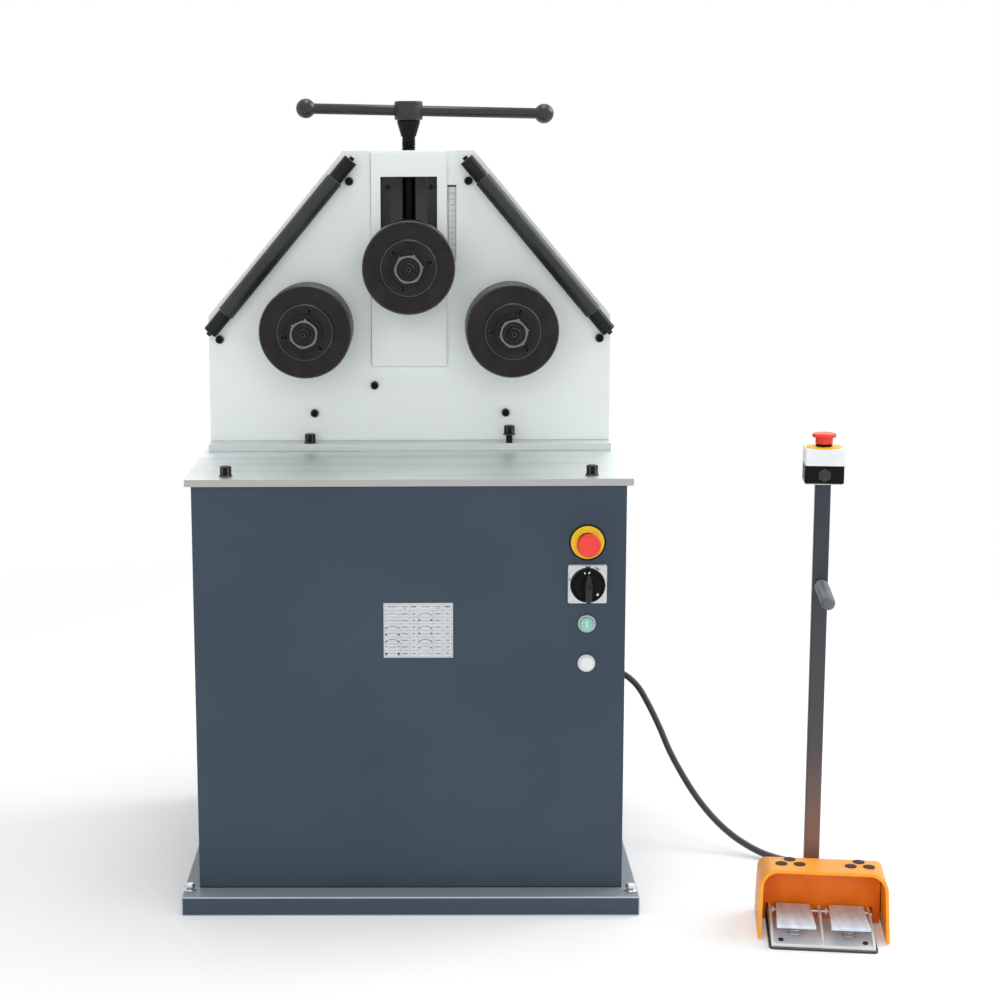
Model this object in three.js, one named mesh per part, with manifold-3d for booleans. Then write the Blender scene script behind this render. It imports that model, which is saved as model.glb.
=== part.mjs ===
// Floor-standing ring roller: three rolls on an upright head, a table on a cabinet,
// and a foot switch with a stop button on a pole. Millimetres, +Z up. The operator
// stands on the -Y side. The origin is the middle of the plinth's underside.
import * as THREE from 'three';
import { mergeVertices } from 'three/addons/utils/BufferGeometryUtils.js';
import Module from 'manifold-3d';

const wasm = await Module();
wasm.setup();

// Driving dimensions
const cabinetWidth = 716;
const cabinetDepth = 600;
const cabinetHeight = 692;
const plinthHeight = 33;
const tableThickness = 12;
const headOverhang = 2.5;
const headTopWidth = 233;
const headInset = 250;
const rollDiameter = 160;
const lowerRollSpacing = 357;
const lowerRollHeight = 222.5;
const topRollRise = 109;
const shaftDiameter = 50;
const screwDiameter = 24;
const buttonInset = 64;
const overrun = 5;
const seatGap = 0.3;
const runningGap = 0.2;
const rollSides = 24;
const largeSides = 20;
const mediumSides = 16;
const smallSides = 12;

// Levels and planes that follow from them
const cabinetFrontY = -cabinetDepth / 2;
const cabinetRearY = cabinetDepth / 2;
const tableUnderZ = plinthHeight + cabinetHeight;
const tableTopZ = tableUnderZ + tableThickness;
const headFrontY = cabinetRearY - headInset;
const headWidth = cabinetWidth + 2 * headOverhang;
const buttonColumnX = cabinetWidth / 2 - buttonInset;
const lowerRollZ = tableTopZ + lowerRollHeight;
const topRollZ = lowerRollZ + topRollRise;
const halfTurn = Math.PI;
const quarterTurn = Math.PI / 2;

const paint = {
  slate: [0x4a5561, 0.45, 0.1],
  white: [0xecf3f1, 0.4, 0.05],
  bareSteel: [0xc9cfd0, 0.35, 0.9],
  blackSteel: [0x363432, 0.4, 0.7],
  blackRubber: [0x26282b, 0.8, 0],
  blackPlastic: [0x1f2124, 0.5, 0],
  greyPlastic: [0xd5d8da, 0.5, 0],
  red: [0xe8372e, 0.4, 0],
  yellow: [0xf5b81c, 0.45, 0],
  green: [0x5fc3a0, 0.4, 0],
  orange: [0xf79a1e, 0.45, 0],
  aluminium: [0xb8bdc0, 0.4, 0.85],
  chrome: [0xd8dcde, 0.2, 1],
  castGrey: [0x8c9296, 0.6, 0.4],
  blue: [0x2f4a63, 0.5, 0.2],
};

// Turns a closed geometry into a solid that can be cut and joined.
function solidOf(geometry) {
  const bare = geometry.clone();
  bare.deleteAttribute('normal');
  bare.deleteAttribute('uv');
  const merged = mergeVertices(bare);
  const corners = merged.index.array;
  const triangles = [];
  for (let i = 0; i < corners.length; i += 3) {
    const [a, b, c] = corners.slice(i, i + 3);
    if (a !== b && b !== c && c !== a) {
      triangles.push(a, b, c);
    }
  }
  return new wasm.Manifold(new wasm.Mesh({
    numProp: 3,
    vertProperties: new Float32Array(merged.attributes.position.array),
    triVerts: new Uint32Array(triangles),
  }));
}

// Turns a solid back into a geometry.
function geometryOf(solid) {
  const mesh = solid.getMesh();
  const geometry = new THREE.BufferGeometry();
  geometry.setAttribute('position', new THREE.BufferAttribute(new Float32Array(mesh.vertProperties), 3));
  geometry.setIndex(new THREE.BufferAttribute(new Uint32Array(mesh.triVerts), 1));
  return geometry;
}

function join(first, ...others) {
  return geometryOf(others.reduce((sum, next) => sum.add(solidOf(next)), solidOf(first)));
}

function cut(first, ...tools) {
  return geometryOf(tools.reduce((rest, tool) => rest.subtract(solidOf(tool)), solidOf(first)));
}

function common(first, second) {
  return geometryOf(solidOf(first).intersect(solidOf(second)));
}

// A box between two opposite corners.
function block(low, high) {
  const size = high.map((value, i) => value - low[i]);
  const middle = high.map((value, i) => (value + low[i]) / 2);
  return new THREE.BoxGeometry(...size).translate(...middle);
}

// A round bar along +Z, from one level to another.
function bar(radius, fromZ, toZ, sides = mediumSides) {
  const round = new THREE.CylinderGeometry(radius, radius, toZ - fromZ, sides);
  return round.rotateX(quarterTurn).translate(0, 0, (fromZ + toZ) / 2);
}

// Radius of a faceted bore whose flats clear a round piece that turns in it.
function boreFor(radius, sides) {
  return (radius + runningGap) / Math.cos(halfTurn / sides);
}

// A turned piece about Z. Its outline of radius and height runs anticlockwise.
function turned(outline, sides = largeSides) {
  const points = outline.map(([radius, height]) => new THREE.Vector2(radius, height));
  if (outline[0][0] !== 0) {
    points.push(points[0].clone());
  }
  return new THREE.LatheGeometry(points, sides).rotateX(quarterTurn);
}

// A flat plate along +Z from zero, from an outline of points or a shape.
function plate(outline, thickness, roundSteps = 3) {
  const shape = outline instanceof THREE.Shape ? outline : new THREE.Shape(
    outline.map(([x, y]) => new THREE.Vector2(x, y)));
  return new THREE.ExtrudeGeometry(shape, { depth: thickness, bevelEnabled: false, curveSegments: roundSteps });
}

// A rectangle with round corners, centred on the origin.
function roundedRectangle(width, height, radius) {
  const x = width / 2;
  const y = height / 2;
  const shape = new THREE.Shape();
  shape.moveTo(radius - x, -y);
  shape.lineTo(x - radius, -y);
  shape.absarc(x - radius, radius - y, radius, -quarterTurn, 0, false);
  shape.lineTo(x, y - radius);
  shape.absarc(x - radius, y - radius, radius, 0, quarterTurn, false);
  shape.lineTo(radius - x, y);
  shape.absarc(radius - x, y - radius, radius, quarterTurn, halfTurn, false);
  shape.lineTo(-x, radius - y);
  shape.absarc(radius - x, radius - y, radius, halfTurn, halfTurn + quarterTurn, false);
  return shape;
}

// The corners of a regular hexagon that measures acrossFlats from flat to flat.
function hexagon(acrossFlats) {
  const radius = acrossFlats / Math.sqrt(3);
  const corners = [];
  for (let i = 0; i < 6; i += 1) {
    const angle = (i * halfTurn) / 3;
    corners.push([radius * Math.cos(angle), radius * Math.sin(angle)]);
  }
  return corners;
}

// Moves every edge of a convex anticlockwise outline inwards by one distance.
function insetOutline(outline, distance) {
  const count = outline.length;
  const lines = outline.map((start, i) => {
    const end = outline[(i + 1) % count];
    const length = Math.hypot(end[0] - start[0], end[1] - start[1]);
    const along = [(end[0] - start[0]) / length, (end[1] - start[1]) / length];
    const from = [start[0] - along[1] * distance, start[1] + along[0] * distance];
    return { from, along };
  });
  return lines.map((line, i) => {
    const before = lines[(i + count - 1) % count];
    const cross = before.along[0] * line.along[1] - before.along[1] * line.along[0];
    const gapX = line.from[0] - before.from[0];
    const gapY = line.from[1] - before.from[1];
    const reach = (gapX * line.along[1] - gapY * line.along[0]) / cross;
    return [before.from[0] + before.along[0] * reach, before.from[1] + before.along[1] * reach];
  });
}

// Stands a piece that was drawn flat upright: its +Z side then faces the operator.
function upright(geometry) {
  return geometry.rotateX(quarterTurn);
}

// Turns a piece that was drawn along +Z so that it points along +X.
function sideways(geometry) {
  return geometry.rotateY(quarterTurn);
}

const machine = new THREE.Group();

function addPart(group, name, geometry, [color, roughness, metalness], place = [0, 0, 0]) {
  const material = new THREE.MeshStandardMaterial({ color, roughness, metalness });
  const mesh = new THREE.Mesh(geometryOf(solidOf(geometry)), material);
  mesh.name = name;
  mesh.position.set(...place);
  group.add(mesh);
  return mesh;
}

// Plinth: a folded tray with a closed bottom and a return flange that carries the cabinet.
const plinthSideOverhang = 26.4;
const plinthEndOverhang = 45.4;
const plinthSheet = 4;
const plinthFlange = 110;

function addPlinth() {
  const halfX = cabinetWidth / 2 + plinthSideOverhang;
  const halfY = cabinetDepth / 2 + plinthEndOverhang;
  const insideX = halfX - plinthSheet;
  const insideY = halfY - plinthSheet;
  const mouthX = halfX - plinthFlange;
  const mouthY = halfY - plinthFlange;
  const tray = cut(
    block([-halfX, -halfY, 0], [halfX, halfY, plinthHeight]),
    block([-insideX, -insideY, plinthSheet], [insideX, insideY, plinthHeight - plinthSheet]),
    block([-mouthX, -mouthY, plinthHeight / 2], [mouthX, mouthY, plinthHeight + overrun]),
  );
  addPart(machine, 'base_tray', tray, paint.slate);
}

// Cabinet: folded front and sides with a frame at the top and the bottom, and a rear panel.
const cabinetSheet = 2.5;
const cabinetFlange = 45;
const stemHole = 22.6;
const louvreWidth = 180;
const louvreHeight = 6;
const louvrePitch = 22;
const louvreCount = 5;
const louvreDrop = 165;
const cableHole = 20.6;
const conduitExitY = 100;
const conduitExitZ = 305;
const emergencyDrop = 96;
const isolatorDrop = 165;
const startDrop = 232.5;
const lampDrop = 300;
const louvreTopZ = tableUnderZ - louvreDrop;
const emergencyZ = tableUnderZ - emergencyDrop;
const isolatorZ = tableUnderZ - isolatorDrop;
const startZ = tableUnderZ - startDrop;
const lampZ = tableUnderZ - lampDrop;

function addCabinet() {
  const halfX = cabinetWidth / 2;
  const shellRearY = cabinetRearY - cabinetSheet;
  const insideX = halfX - cabinetSheet;
  const frameX = halfX - cabinetFlange;
  const frameY = cabinetFrontY + cabinetFlange;
  const sheetHoles = [emergencyZ, isolatorZ, startZ, lampZ].map((z) => upright(
    bar(stemHole / 2, -overrun, overrun)).translate(buttonColumnX, cabinetFrontY, z));
  const exitHole = sideways(bar(cableHole / 2, -overrun, overrun)).translate(halfX, conduitExitY, conduitExitZ);
  const shell = cut(
    block([-halfX, cabinetFrontY, plinthHeight], [halfX, shellRearY, tableUnderZ]),
    block([-insideX, cabinetFrontY + cabinetSheet, plinthHeight + cabinetSheet],
      [insideX, shellRearY + overrun, tableUnderZ - cabinetSheet]),
    block([-frameX, frameY, plinthHeight - overrun],
      [frameX, cabinetRearY - cabinetFlange, tableUnderZ + overrun]),
    ...sheetHoles,
    exitHole,
  );
  addPart(machine, 'cabinet_shell', shell, paint.slate);

  const louvres = [];
  for (let row = 0; row < louvreCount; row += 1) {
    for (const side of [-1, 1]) {
      const x = (side * louvreWidth * 2) / 3;
      const z = louvreTopZ - row * louvrePitch;
      louvres.push(block([x - louvreWidth / 2, shellRearY - overrun, z],
        [x + louvreWidth / 2, cabinetRearY + overrun, z + louvreHeight]));
    }
  }
  const panel = block([-halfX, shellRearY, plinthHeight], [halfX, cabinetRearY, tableUnderZ]);
  addPart(machine, 'cabinet_rear_panel', cut(panel, ...louvres), paint.slate);
}

// Working table and the machined strip that the head stands on.
const tableSideOverhang = 9.75;
const tableEndOverhang = 12;
const tableChamfer = 1.5;
const stripThickness = 13.6;
const stripFrontInset = 42.5;
const motorBore = 168;
const motorSetback = 100;
const motorAxisY = headFrontY + motorSetback;
const headBottomZ = tableTopZ + stripThickness;

function addTable() {
  const halfX = cabinetWidth / 2 + tableSideOverhang;
  const halfY = cabinetDepth / 2 + tableEndOverhang;
  const lowX = halfX - tableChamfer;
  const slab = plate([[-lowX, 0], [lowX, 0], [halfX, tableChamfer], [halfX, tableThickness - tableChamfer],
    [lowX, tableThickness], [-lowX, tableThickness], [-halfX, tableThickness - tableChamfer],
    [-halfX, tableChamfer]], 2 * halfY);
  const bore = bar(motorBore / 2, tableUnderZ - overrun, headBottomZ + overrun, largeSides)
    .translate(0, motorAxisY, 0);
  const table = cut(upright(slab).translate(0, halfY, tableUnderZ), bore);
  addPart(machine, 'table_plate', table, paint.bareSteel);
  const strip = block([-headWidth / 2, headFrontY - stripFrontInset, tableTopZ],
    [headWidth / 2, cabinetRearY, headBottomZ]);
  addPart(machine, 'head_base_plate', cut(strip, bore), paint.bareSteel);
}

// Head: front plate, housing behind it, rear cover and the raised window cover.
const shoulderHeight = 226.4;
const headSlopeRise = 290.7;
const headPlateThickness = 20;
const housingDepth = 210;
const housingWall = 5;
const rearCoverThickness = 3;
const slotWidth = 100;
const slotBelowRoll = 108.5;
const slotAboveRoll = 167.5;
const windowCoverWidth = 134.5;
const windowCoverThickness = 12;
const coverBelowRoll = 182.5;
const coverAboveRoll = 196.5;
const windowBelowRoll = 75.5;
const windowAboveRoll = 153;
const bearingSleeve = 90;
const screwSetback = 38;
const screwClearance = 6;
const slotLowZ = topRollZ - slotBelowRoll;
const slotHighZ = topRollZ + slotAboveRoll;
const windowCoverLowZ = topRollZ - coverBelowRoll;
const windowCoverHighZ = topRollZ + coverAboveRoll;
const windowLowZ = topRollZ - windowBelowRoll;
const windowHighZ = topRollZ + windowAboveRoll;
const shoulderZ = headBottomZ + shoulderHeight;
const headTopZ = shoulderZ + headSlopeRise;
const headRearY = headFrontY + headPlateThickness;
const screwY = headFrontY + screwSetback;
const screwPassage = screwDiameter + screwClearance;
const headOutline = [[-headWidth / 2, headBottomZ], [headWidth / 2, headBottomZ], [headWidth / 2, shoulderZ],
  [headTopWidth / 2, headTopZ], [-headTopWidth / 2, headTopZ], [-headWidth / 2, shoulderZ]];

function addHead() {
  const rearFromFront = -headPlateThickness;
  const sleeveHole = bearingSleeve / 2 + seatGap;
  const bores = [-1, 1].map((side) => upright(bar(sleeveHole, rearFromFront - overrun, overrun, largeSides))
    .translate((side * lowerRollSpacing) / 2, headFrontY, lowerRollZ));
  const slot = block([-slotWidth / 2, headFrontY - overrun, slotLowZ],
    [slotWidth / 2, headRearY + overrun, slotHighZ]);
  const front = upright(plate(headOutline, headPlateThickness)).translate(0, headRearY, 0);
  addPart(machine, 'head_front_plate', cut(front, slot, ...bores), paint.white);

  const housingRearY = headRearY + housingDepth;
  const outer = upright(plate(headOutline, housingDepth)).translate(0, housingRearY, 0);
  const hollow = upright(plate(insetOutline(headOutline, housingWall), housingDepth + 2 * overrun))
    .translate(0, housingRearY + overrun, 0);
  const gearPit = block([-headWidth / 2 + housingWall, headRearY - overrun, headBottomZ - overrun],
    [headWidth / 2 - housingWall, housingRearY - housingWall, headBottomZ + 2 * overrun]);
  const passage = bar(screwPassage / 2, headTopZ - 2 * overrun, headTopZ + overrun).translate(0, screwY, 0);
  addPart(machine, 'head_housing', cut(outer, hollow, gearPit, passage), paint.white);
  addPart(machine, 'head_rear_cover', upright(plate(headOutline, rearCoverThickness)), paint.white,
    [0, housingRearY + rearCoverThickness, 0]);

  const halfCover = windowCoverWidth / 2;
  const coverFrontY = headFrontY - windowCoverThickness;
  const cover = cut(
    block([-halfCover, coverFrontY, windowCoverLowZ], [halfCover, headFrontY, windowCoverHighZ]),
    block([-slotWidth / 2, coverFrontY - overrun, windowLowZ],
      [slotWidth / 2, headFrontY + overrun, windowHighZ]),
  );
  addPart(machine, 'window_cover', cover, paint.white);
}

// Slide: two guide strips in the slot, a bearing block behind them, and the lifting screw.
const guideWidth = 18;
const guideDepth = 22;
const guideRecess = 2;
const blockHeight = 120;
const blockWidth = 96;
const blockDepth = 100;
const tongueRecess = 6;
const collarPocketDepth = 14;
const collarRadius = 17;
const bushHeight = 24;
const coneLow = 13.75;
const coneHigh = 20.5;
const coneHeight = 29;
const hubDiameter = 50;
const hubHeight = 33;
const hubEase = 2;
const screwExposed = 24.3;
const barDiameter = 19;
const barLength = 424;
const ballDiameter = 35;
const ballRows = 6;
const barShift = 29;
// The bar is a loose fit in the hub, so its longer end hangs a little low.
const barTilt = THREE.MathUtils.degToRad(1.5);
const guideFrontY = headFrontY + guideRecess;
const guideRearY = guideFrontY + guideDepth;
const blockTopZ = topRollZ + blockHeight / 2;
const coneLowZ = headTopZ + screwExposed;
const hubLowZ = coneLowZ + coneHeight;
const barZ = hubLowZ + hubHeight / 2;

function addSlide() {
  const slide = new THREE.Group();
  const inner = slotWidth / 2 - guideWidth;
  for (const [name, side] of [['slide_guide_left', -1], ['slide_guide_right', 1]]) {
    const strip = block([-guideWidth / 2, guideFrontY, slotLowZ + seatGap],
      [guideWidth / 2, guideRearY, slotHighZ - seatGap]);
    addPart(machine, name, strip, paint.blackSteel, [side * (inner + guideWidth / 2), 0, 0]);
  }

  const tongueHalf = inner - 2 * seatGap;
  const blockFrontY = guideRearY + seatGap;
  const lowZ = topRollZ - blockHeight / 2;
  const body = join(
    block([-blockWidth / 2, blockFrontY, lowZ], [blockWidth / 2, blockFrontY + blockDepth, blockTopZ]),
    block([-tongueHalf, headFrontY + tongueRecess, lowZ], [tongueHalf, blockFrontY + overrun, blockTopZ]),
  );
  const shaftBore = upright(bar(boreFor(shaftDiameter / 2, largeSides), -cabinetDepth, 0, largeSides))
    .translate(0, headFrontY, topRollZ);
  const pocket = bar(boreFor(collarRadius, mediumSides), blockTopZ - collarPocketDepth, blockTopZ + overrun)
    .translate(0, screwY, 0);
  addPart(slide, 'slide_block', cut(body, shaftBore, pocket), paint.blackSteel);

  const bushTopZ = headTopZ - housingWall;
  const bush = cut(
    block([-blockWidth / 2, headRearY, bushTopZ - bushHeight],
      [blockWidth / 2, screwY + blockWidth / 4, bushTopZ]),
    bar(screwDiameter / 2 + seatGap, headBottomZ, headTopZ).translate(0, screwY, 0),
  );
  addPart(machine, 'screw_bracket', bush, paint.castGrey);

  const screwR = screwDiameter / 2;
  const endZ = blockTopZ - collarPocketDepth + seatGap;
  const collarTopZ = blockTopZ - seatGap;
  const screw = turned([[0, endZ], [collarRadius, endZ], [collarRadius, collarTopZ], [screwR, collarTopZ],
    [screwR, coneLowZ], [coneLow, coneLowZ], [coneHigh, hubLowZ - seatGap], [0, hubLowZ - seatGap]],
  mediumSides);
  addPart(slide, 'leadscrew', screw, paint.blackSteel, [0, screwY, 0]);

  const hubR = hubDiameter / 2;
  const hubTopZ = hubLowZ + hubHeight;
  const hub = turned([[0, hubLowZ], [hubR - hubEase, hubLowZ], [hubR, hubLowZ + hubEase],
    [hubR, hubTopZ - hubEase], [hubR - hubEase, hubTopZ], [0, hubTopZ]]);
  const crossBore = sideways(bar(barDiameter / 2 + runningGap, -hubDiameter, hubDiameter))
    .rotateY(barTilt)
    .translate(0, 0, barZ);
  addPart(slide, 'handle_hub', cut(hub, crossBore), paint.blackSteel, [0, screwY, 0]);

  const bars = sideways(bar(barDiameter / 2, -barLength / 2, barLength / 2));
  const balls = [-1, 1].map((side) => new THREE.SphereGeometry(ballDiameter / 2, smallSides, ballRows)
    .translate((side * barLength) / 2, 0, 0));
  const handleBar = join(bars, ...balls).translate(barShift, 0, 0).rotateY(barTilt);
  addPart(slide, 'handle_bar', handleBar, paint.blackSteel, [0, screwY, barZ]);
  machine.add(slide);
}

// Rolls: on each shaft a front ring, a pair of rear rings, a nut and, below, a gear.
// Heights along a roll's axis count from the head's face towards the operator.
const rollFaceOut = 150;
const ringThickness = 35.5;
const ringEase = 2;
const grooveDepth = 3;
const grooveWidth = 3;
const clampDiameter = 98;
const clampThickness = 11;
const washerDiameter = 62;
const washerThickness = 12;
const nutAcross = 46;
const nutHeight = 24;
const nutEase = 3.5;
const threadDiameter = 30;
const shaftTipDiameter = 23;
const shaftTipLength = 16;
const centreHole = 6;
const bearingOut = 30;
const bearingIn = 100;
const bearingFlange = 116;
const bearingFlangeThickness = 14;
const shaftCollar = 68;
const spacerDiameter = 58;
const gearModule = 8;
const gearTeeth = 30;
const pinionTeeth = 18;
const gearWidth = 38;
const gearIn = 148;
const gearBacklash = 0.5;
const dedendumShare = 1.25;
const shaftTail = 12;
const ringFrontOut = rollFaceOut - ringThickness;
const ringRearOut = ringFrontOut - seatGap - 2 * ringThickness - grooveWidth;
const clampOut = rollFaceOut + clampThickness;
const washerOut = clampOut + washerThickness;
const nutOut = washerOut + nutHeight;
const gearCentreDistance = (gearModule * (gearTeeth + pinionTeeth)) / 2;
const pinionZ = lowerRollZ - Math.sqrt(gearCentreDistance ** 2 - (lowerRollSpacing / 2) ** 2);
const gearFaceY = headFrontY + gearIn;

// Outline of an involute gear with straight-sided teeth inside the true flanks.
function gearOutline(teeth, firstTooth) {
  const pressure = halfTurn / 9;
  const pitchRadius = (gearModule * teeth) / 2;
  const baseRadius = pitchRadius * Math.cos(pressure);
  const rootRadius = pitchRadius - dedendumShare * gearModule;
  const tipRadius = pitchRadius + gearModule;
  const involute = (angle) => Math.tan(angle) - angle;
  const halfTooth = (radius) => {
    const slant = Math.acos(Math.min(1, baseRadius / Math.max(radius, baseRadius)));
    return halfTurn / (2 * teeth) + involute(pressure) - involute(slant) - gearBacklash / (2 * pitchRadius);
  };
  const points = [];
  for (let tooth = 0; tooth < teeth; tooth += 1) {
    const middle = firstTooth + (2 * halfTurn * tooth) / teeth;
    for (const [radius, side] of [[rootRadius, -1], [tipRadius, -1], [tipRadius, 1], [rootRadius, 1]]) {
      const angle = middle + side * halfTooth(radius);
      points.push([radius * Math.cos(angle), radius * Math.sin(angle)]);
    }
  }
  return points;
}

// Angle of one tooth of the left gear so that it meshes with the pinion's first tooth up.
function leftGearPhase() {
  const toGear = Math.atan2(lowerRollZ - pinionZ, -lowerRollSpacing / 2);
  const pinionPitch = (2 * halfTurn) / pinionTeeth;
  const toothNumber = Math.round((toGear - quarterTurn) / pinionPitch);
  const offset = quarterTurn + toothNumber * pinionPitch - toGear;
  return toGear + halfTurn - (offset * pinionTeeth) / gearTeeth + halfTurn / gearTeeth;
}

function gear(teeth, firstTooth, boreRadius) {
  return cut(plate(gearOutline(teeth, firstTooth), gearWidth),
    bar(boreRadius, -overrun, gearWidth + overrun, largeSides));
}

function addRoll(prefix, x, z, rearEnd, spacerIn) {
  const roll = new THREE.Group();
  roll.position.set(x, headFrontY, z);
  roll.rotation.x = quarterTurn;
  const shaftR = shaftDiameter / 2;
  const boreR = boreFor(shaftR, rollSides);
  const ringR = rollDiameter / 2;
  const threadR = threadDiameter / 2;
  const tipR = shaftTipDiameter / 2;
  const tipOut = nutOut + shaftTipLength;
  const collarR = shaftCollar / 2;
  const spacerR = spacerDiameter / 2;
  const rearFace = bearingOut + seatGap;
  const plain = [[shaftR, rearFace]];
  const spacer = spacerIn ? [[shaftR, -spacerIn], [spacerR, -spacerIn], [spacerR, rearFace]] : plain;
  const shaft = turned([[0, -rearEnd], [shaftR, -rearEnd],
    ...spacer,
    [collarR, rearFace], [collarR, ringRearOut - seatGap], [shaftR, ringRearOut - seatGap],
    [shaftR, clampOut - seatGap], [threadR, clampOut - seatGap], [threadR, nutOut], [tipR, nutOut],
    [tipR, tipOut - ringEase], [tipR - ringEase, tipOut], [centreHole / 2, tipOut],
    [0, tipOut - centreHole]]);
  addPart(roll, `${prefix}_shaft`, shaft, paint.blackSteel);

  const clampR = clampDiameter / 2;
  const frontRing = turned([[boreR, ringFrontOut], [ringR - ringEase, ringFrontOut],
    [ringR, ringFrontOut + ringEase], [ringR, rollFaceOut - ringEase], [ringR - ringEase, rollFaceOut],
    [clampR, rollFaceOut], [clampR, clampOut - ringEase], [clampR - ringEase, clampOut], [boreR, clampOut]],
  rollSides);
  addPart(roll, `${prefix}_roll_front`, frontRing, paint.blackSteel);

  const grooveR = ringR - grooveDepth;
  const grooveLow = ringRearOut + ringThickness;
  const grooveHigh = grooveLow + grooveWidth;
  const rearTop = ringFrontOut - seatGap;
  const rearRings = turned([[boreR, ringRearOut], [ringR - ringEase, ringRearOut],
    [ringR, ringRearOut + ringEase], [ringR, grooveLow], [grooveR, grooveLow], [grooveR, grooveHigh],
    [ringR, grooveHigh], [ringR, rearTop - ringEase], [ringR - ringEase, rearTop], [boreR, rearTop]],
  rollSides);
  addPart(roll, `${prefix}_roll_rear`, rearRings, paint.blackSteel);

  const hex = plate(hexagon(nutAcross), nutHeight + overrun).translate(0, 0, washerOut - overrun);
  const nutR = nutAcross / 2;
  const ease = turned([[0, clampOut], [washerDiameter, clampOut], [washerDiameter, nutOut - 2 * nutEase],
    [nutR + nutEase, nutOut - nutEase / 2], [nutR, nutOut], [0, nutOut]]);
  const washer = bar(washerDiameter / 2, clampOut + seatGap, washerOut, largeSides);
  const nut = cut(join(common(hex, ease), washer), bar(threadR + runningGap, 0, tipOut, largeSides));
  addPart(roll, `${prefix}_roll_nut`, nut, paint.blackSteel);
  machine.add(roll);
  return roll;
}

function addRolls() {
  const lowerShaftRear = gearIn + gearWidth + shaftTail;
  const spacing = lowerRollSpacing / 2;
  const phase = leftGearPhase();
  for (const [prefix, side, turn] of [['left', -1, phase], ['right', 1, halfTurn - phase]]) {
    const roll = addRoll(prefix, side * spacing, lowerRollZ, lowerShaftRear, 0);
    const wheel = gear(gearTeeth, turn, shaftDiameter / 2 + runningGap);
    addPart(roll, `${prefix}_gear`, wheel, paint.castGrey, [0, 0, -gearIn - gearWidth]);
    const sleeveR = bearingSleeve / 2;
    const boreR = boreFor(shaftDiameter / 2, largeSides);
    const flangeFar = -headPlateThickness - seatGap;
    const flangeNear = flangeFar - bearingFlangeThickness;
    const bearingFar = -headPlateThickness - bearingIn;
    const flangeR = bearingFlange / 2;
    const bearing = turned([[boreR, bearingFar], [sleeveR, bearingFar],
      [sleeveR, flangeNear], [flangeR, flangeNear], [flangeR, flangeFar], [sleeveR, flangeFar],
      [sleeveR, bearingOut], [boreR, bearingOut]]);
    addPart(roll, `${prefix}_bearing`, bearing, paint.castGrey);
  }
  const blockRearIn = guideRearY + seatGap + blockDepth - headFrontY;
  const topRear = blockRearIn + seatGap + shaftTail;
  addRoll('top', 0, topRollZ, topRear, tongueRecess - seatGap);
}

// Gear motor: a bevel gearbox on the head's base plate, with its motor hanging in the cabinet.
const gearboxWidth = 150;
const gearboxDepth = 108;
const motorDiameter = 150;
const motorLength = 260;
const motorFlange = 160;
const motorFlangeThickness = 5;
const outputDiameter = 40;
const outputOverhang = 5;
const gearClearance = 5.6;
const sweepClearance = 13;

function addDrive() {
  const nearY = motorAxisY - gearboxDepth / 2;
  const farY = motorAxisY + gearboxDepth / 2;
  const shaftOut = gearFaceY + gearWidth;
  const sweepRadius = (pinionTeeth / 2 + 1) * gearModule;
  const footTopZ = pinionZ - sweepRadius - sweepClearance;
  const pinion = upright(gear(pinionTeeth, quarterTurn, boreFor(outputDiameter / 2, largeSides)));
  addPart(machine, 'drive_pinion', pinion, paint.castGrey, [0, shaftOut, pinionZ]);
  const tower = block([-gearboxWidth / 2, nearY, headBottomZ],
    [gearboxWidth / 2, gearFaceY - gearClearance, pinionZ + gearboxWidth / 3]);
  const foot = block([-gearboxWidth / 2, nearY, headBottomZ],
    [gearboxWidth / 2, farY + gearboxDepth / 4, footTopZ]);
  const output = upright(bar(outputDiameter / 2, -shaftOut - outputOverhang, -nearY, largeSides))
    .translate(0, 0, pinionZ);
  const spigotR = motorBore / 2 - 2 * seatGap;
  const flangeZ = tableUnderZ - motorFlangeThickness;
  const motor = turned([[0, headBottomZ - motorLength], [motorDiameter / 2, headBottomZ - motorLength],
    [motorDiameter / 2, flangeZ], [motorFlange / 2, flangeZ],
    [Math.min(spigotR, motorFlange / 2), headBottomZ + overrun], [0, headBottomZ + overrun]])
    .translate(0, motorAxisY, 0);
  addPart(machine, 'gearmotor', join(tower, foot, output, motor), paint.blue);
}

// Support rollers along the head's slopes.
const sleeveDiameter = 30;
const sleeveLength = 306;
const sleeveBore = 17;
const rodDiameter = 16;
const rodEndDiameter = 26;
const rodEndLength = 44;
const rodInset = 22;
const rodDrop = 10;
const rodOut = 30;

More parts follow.
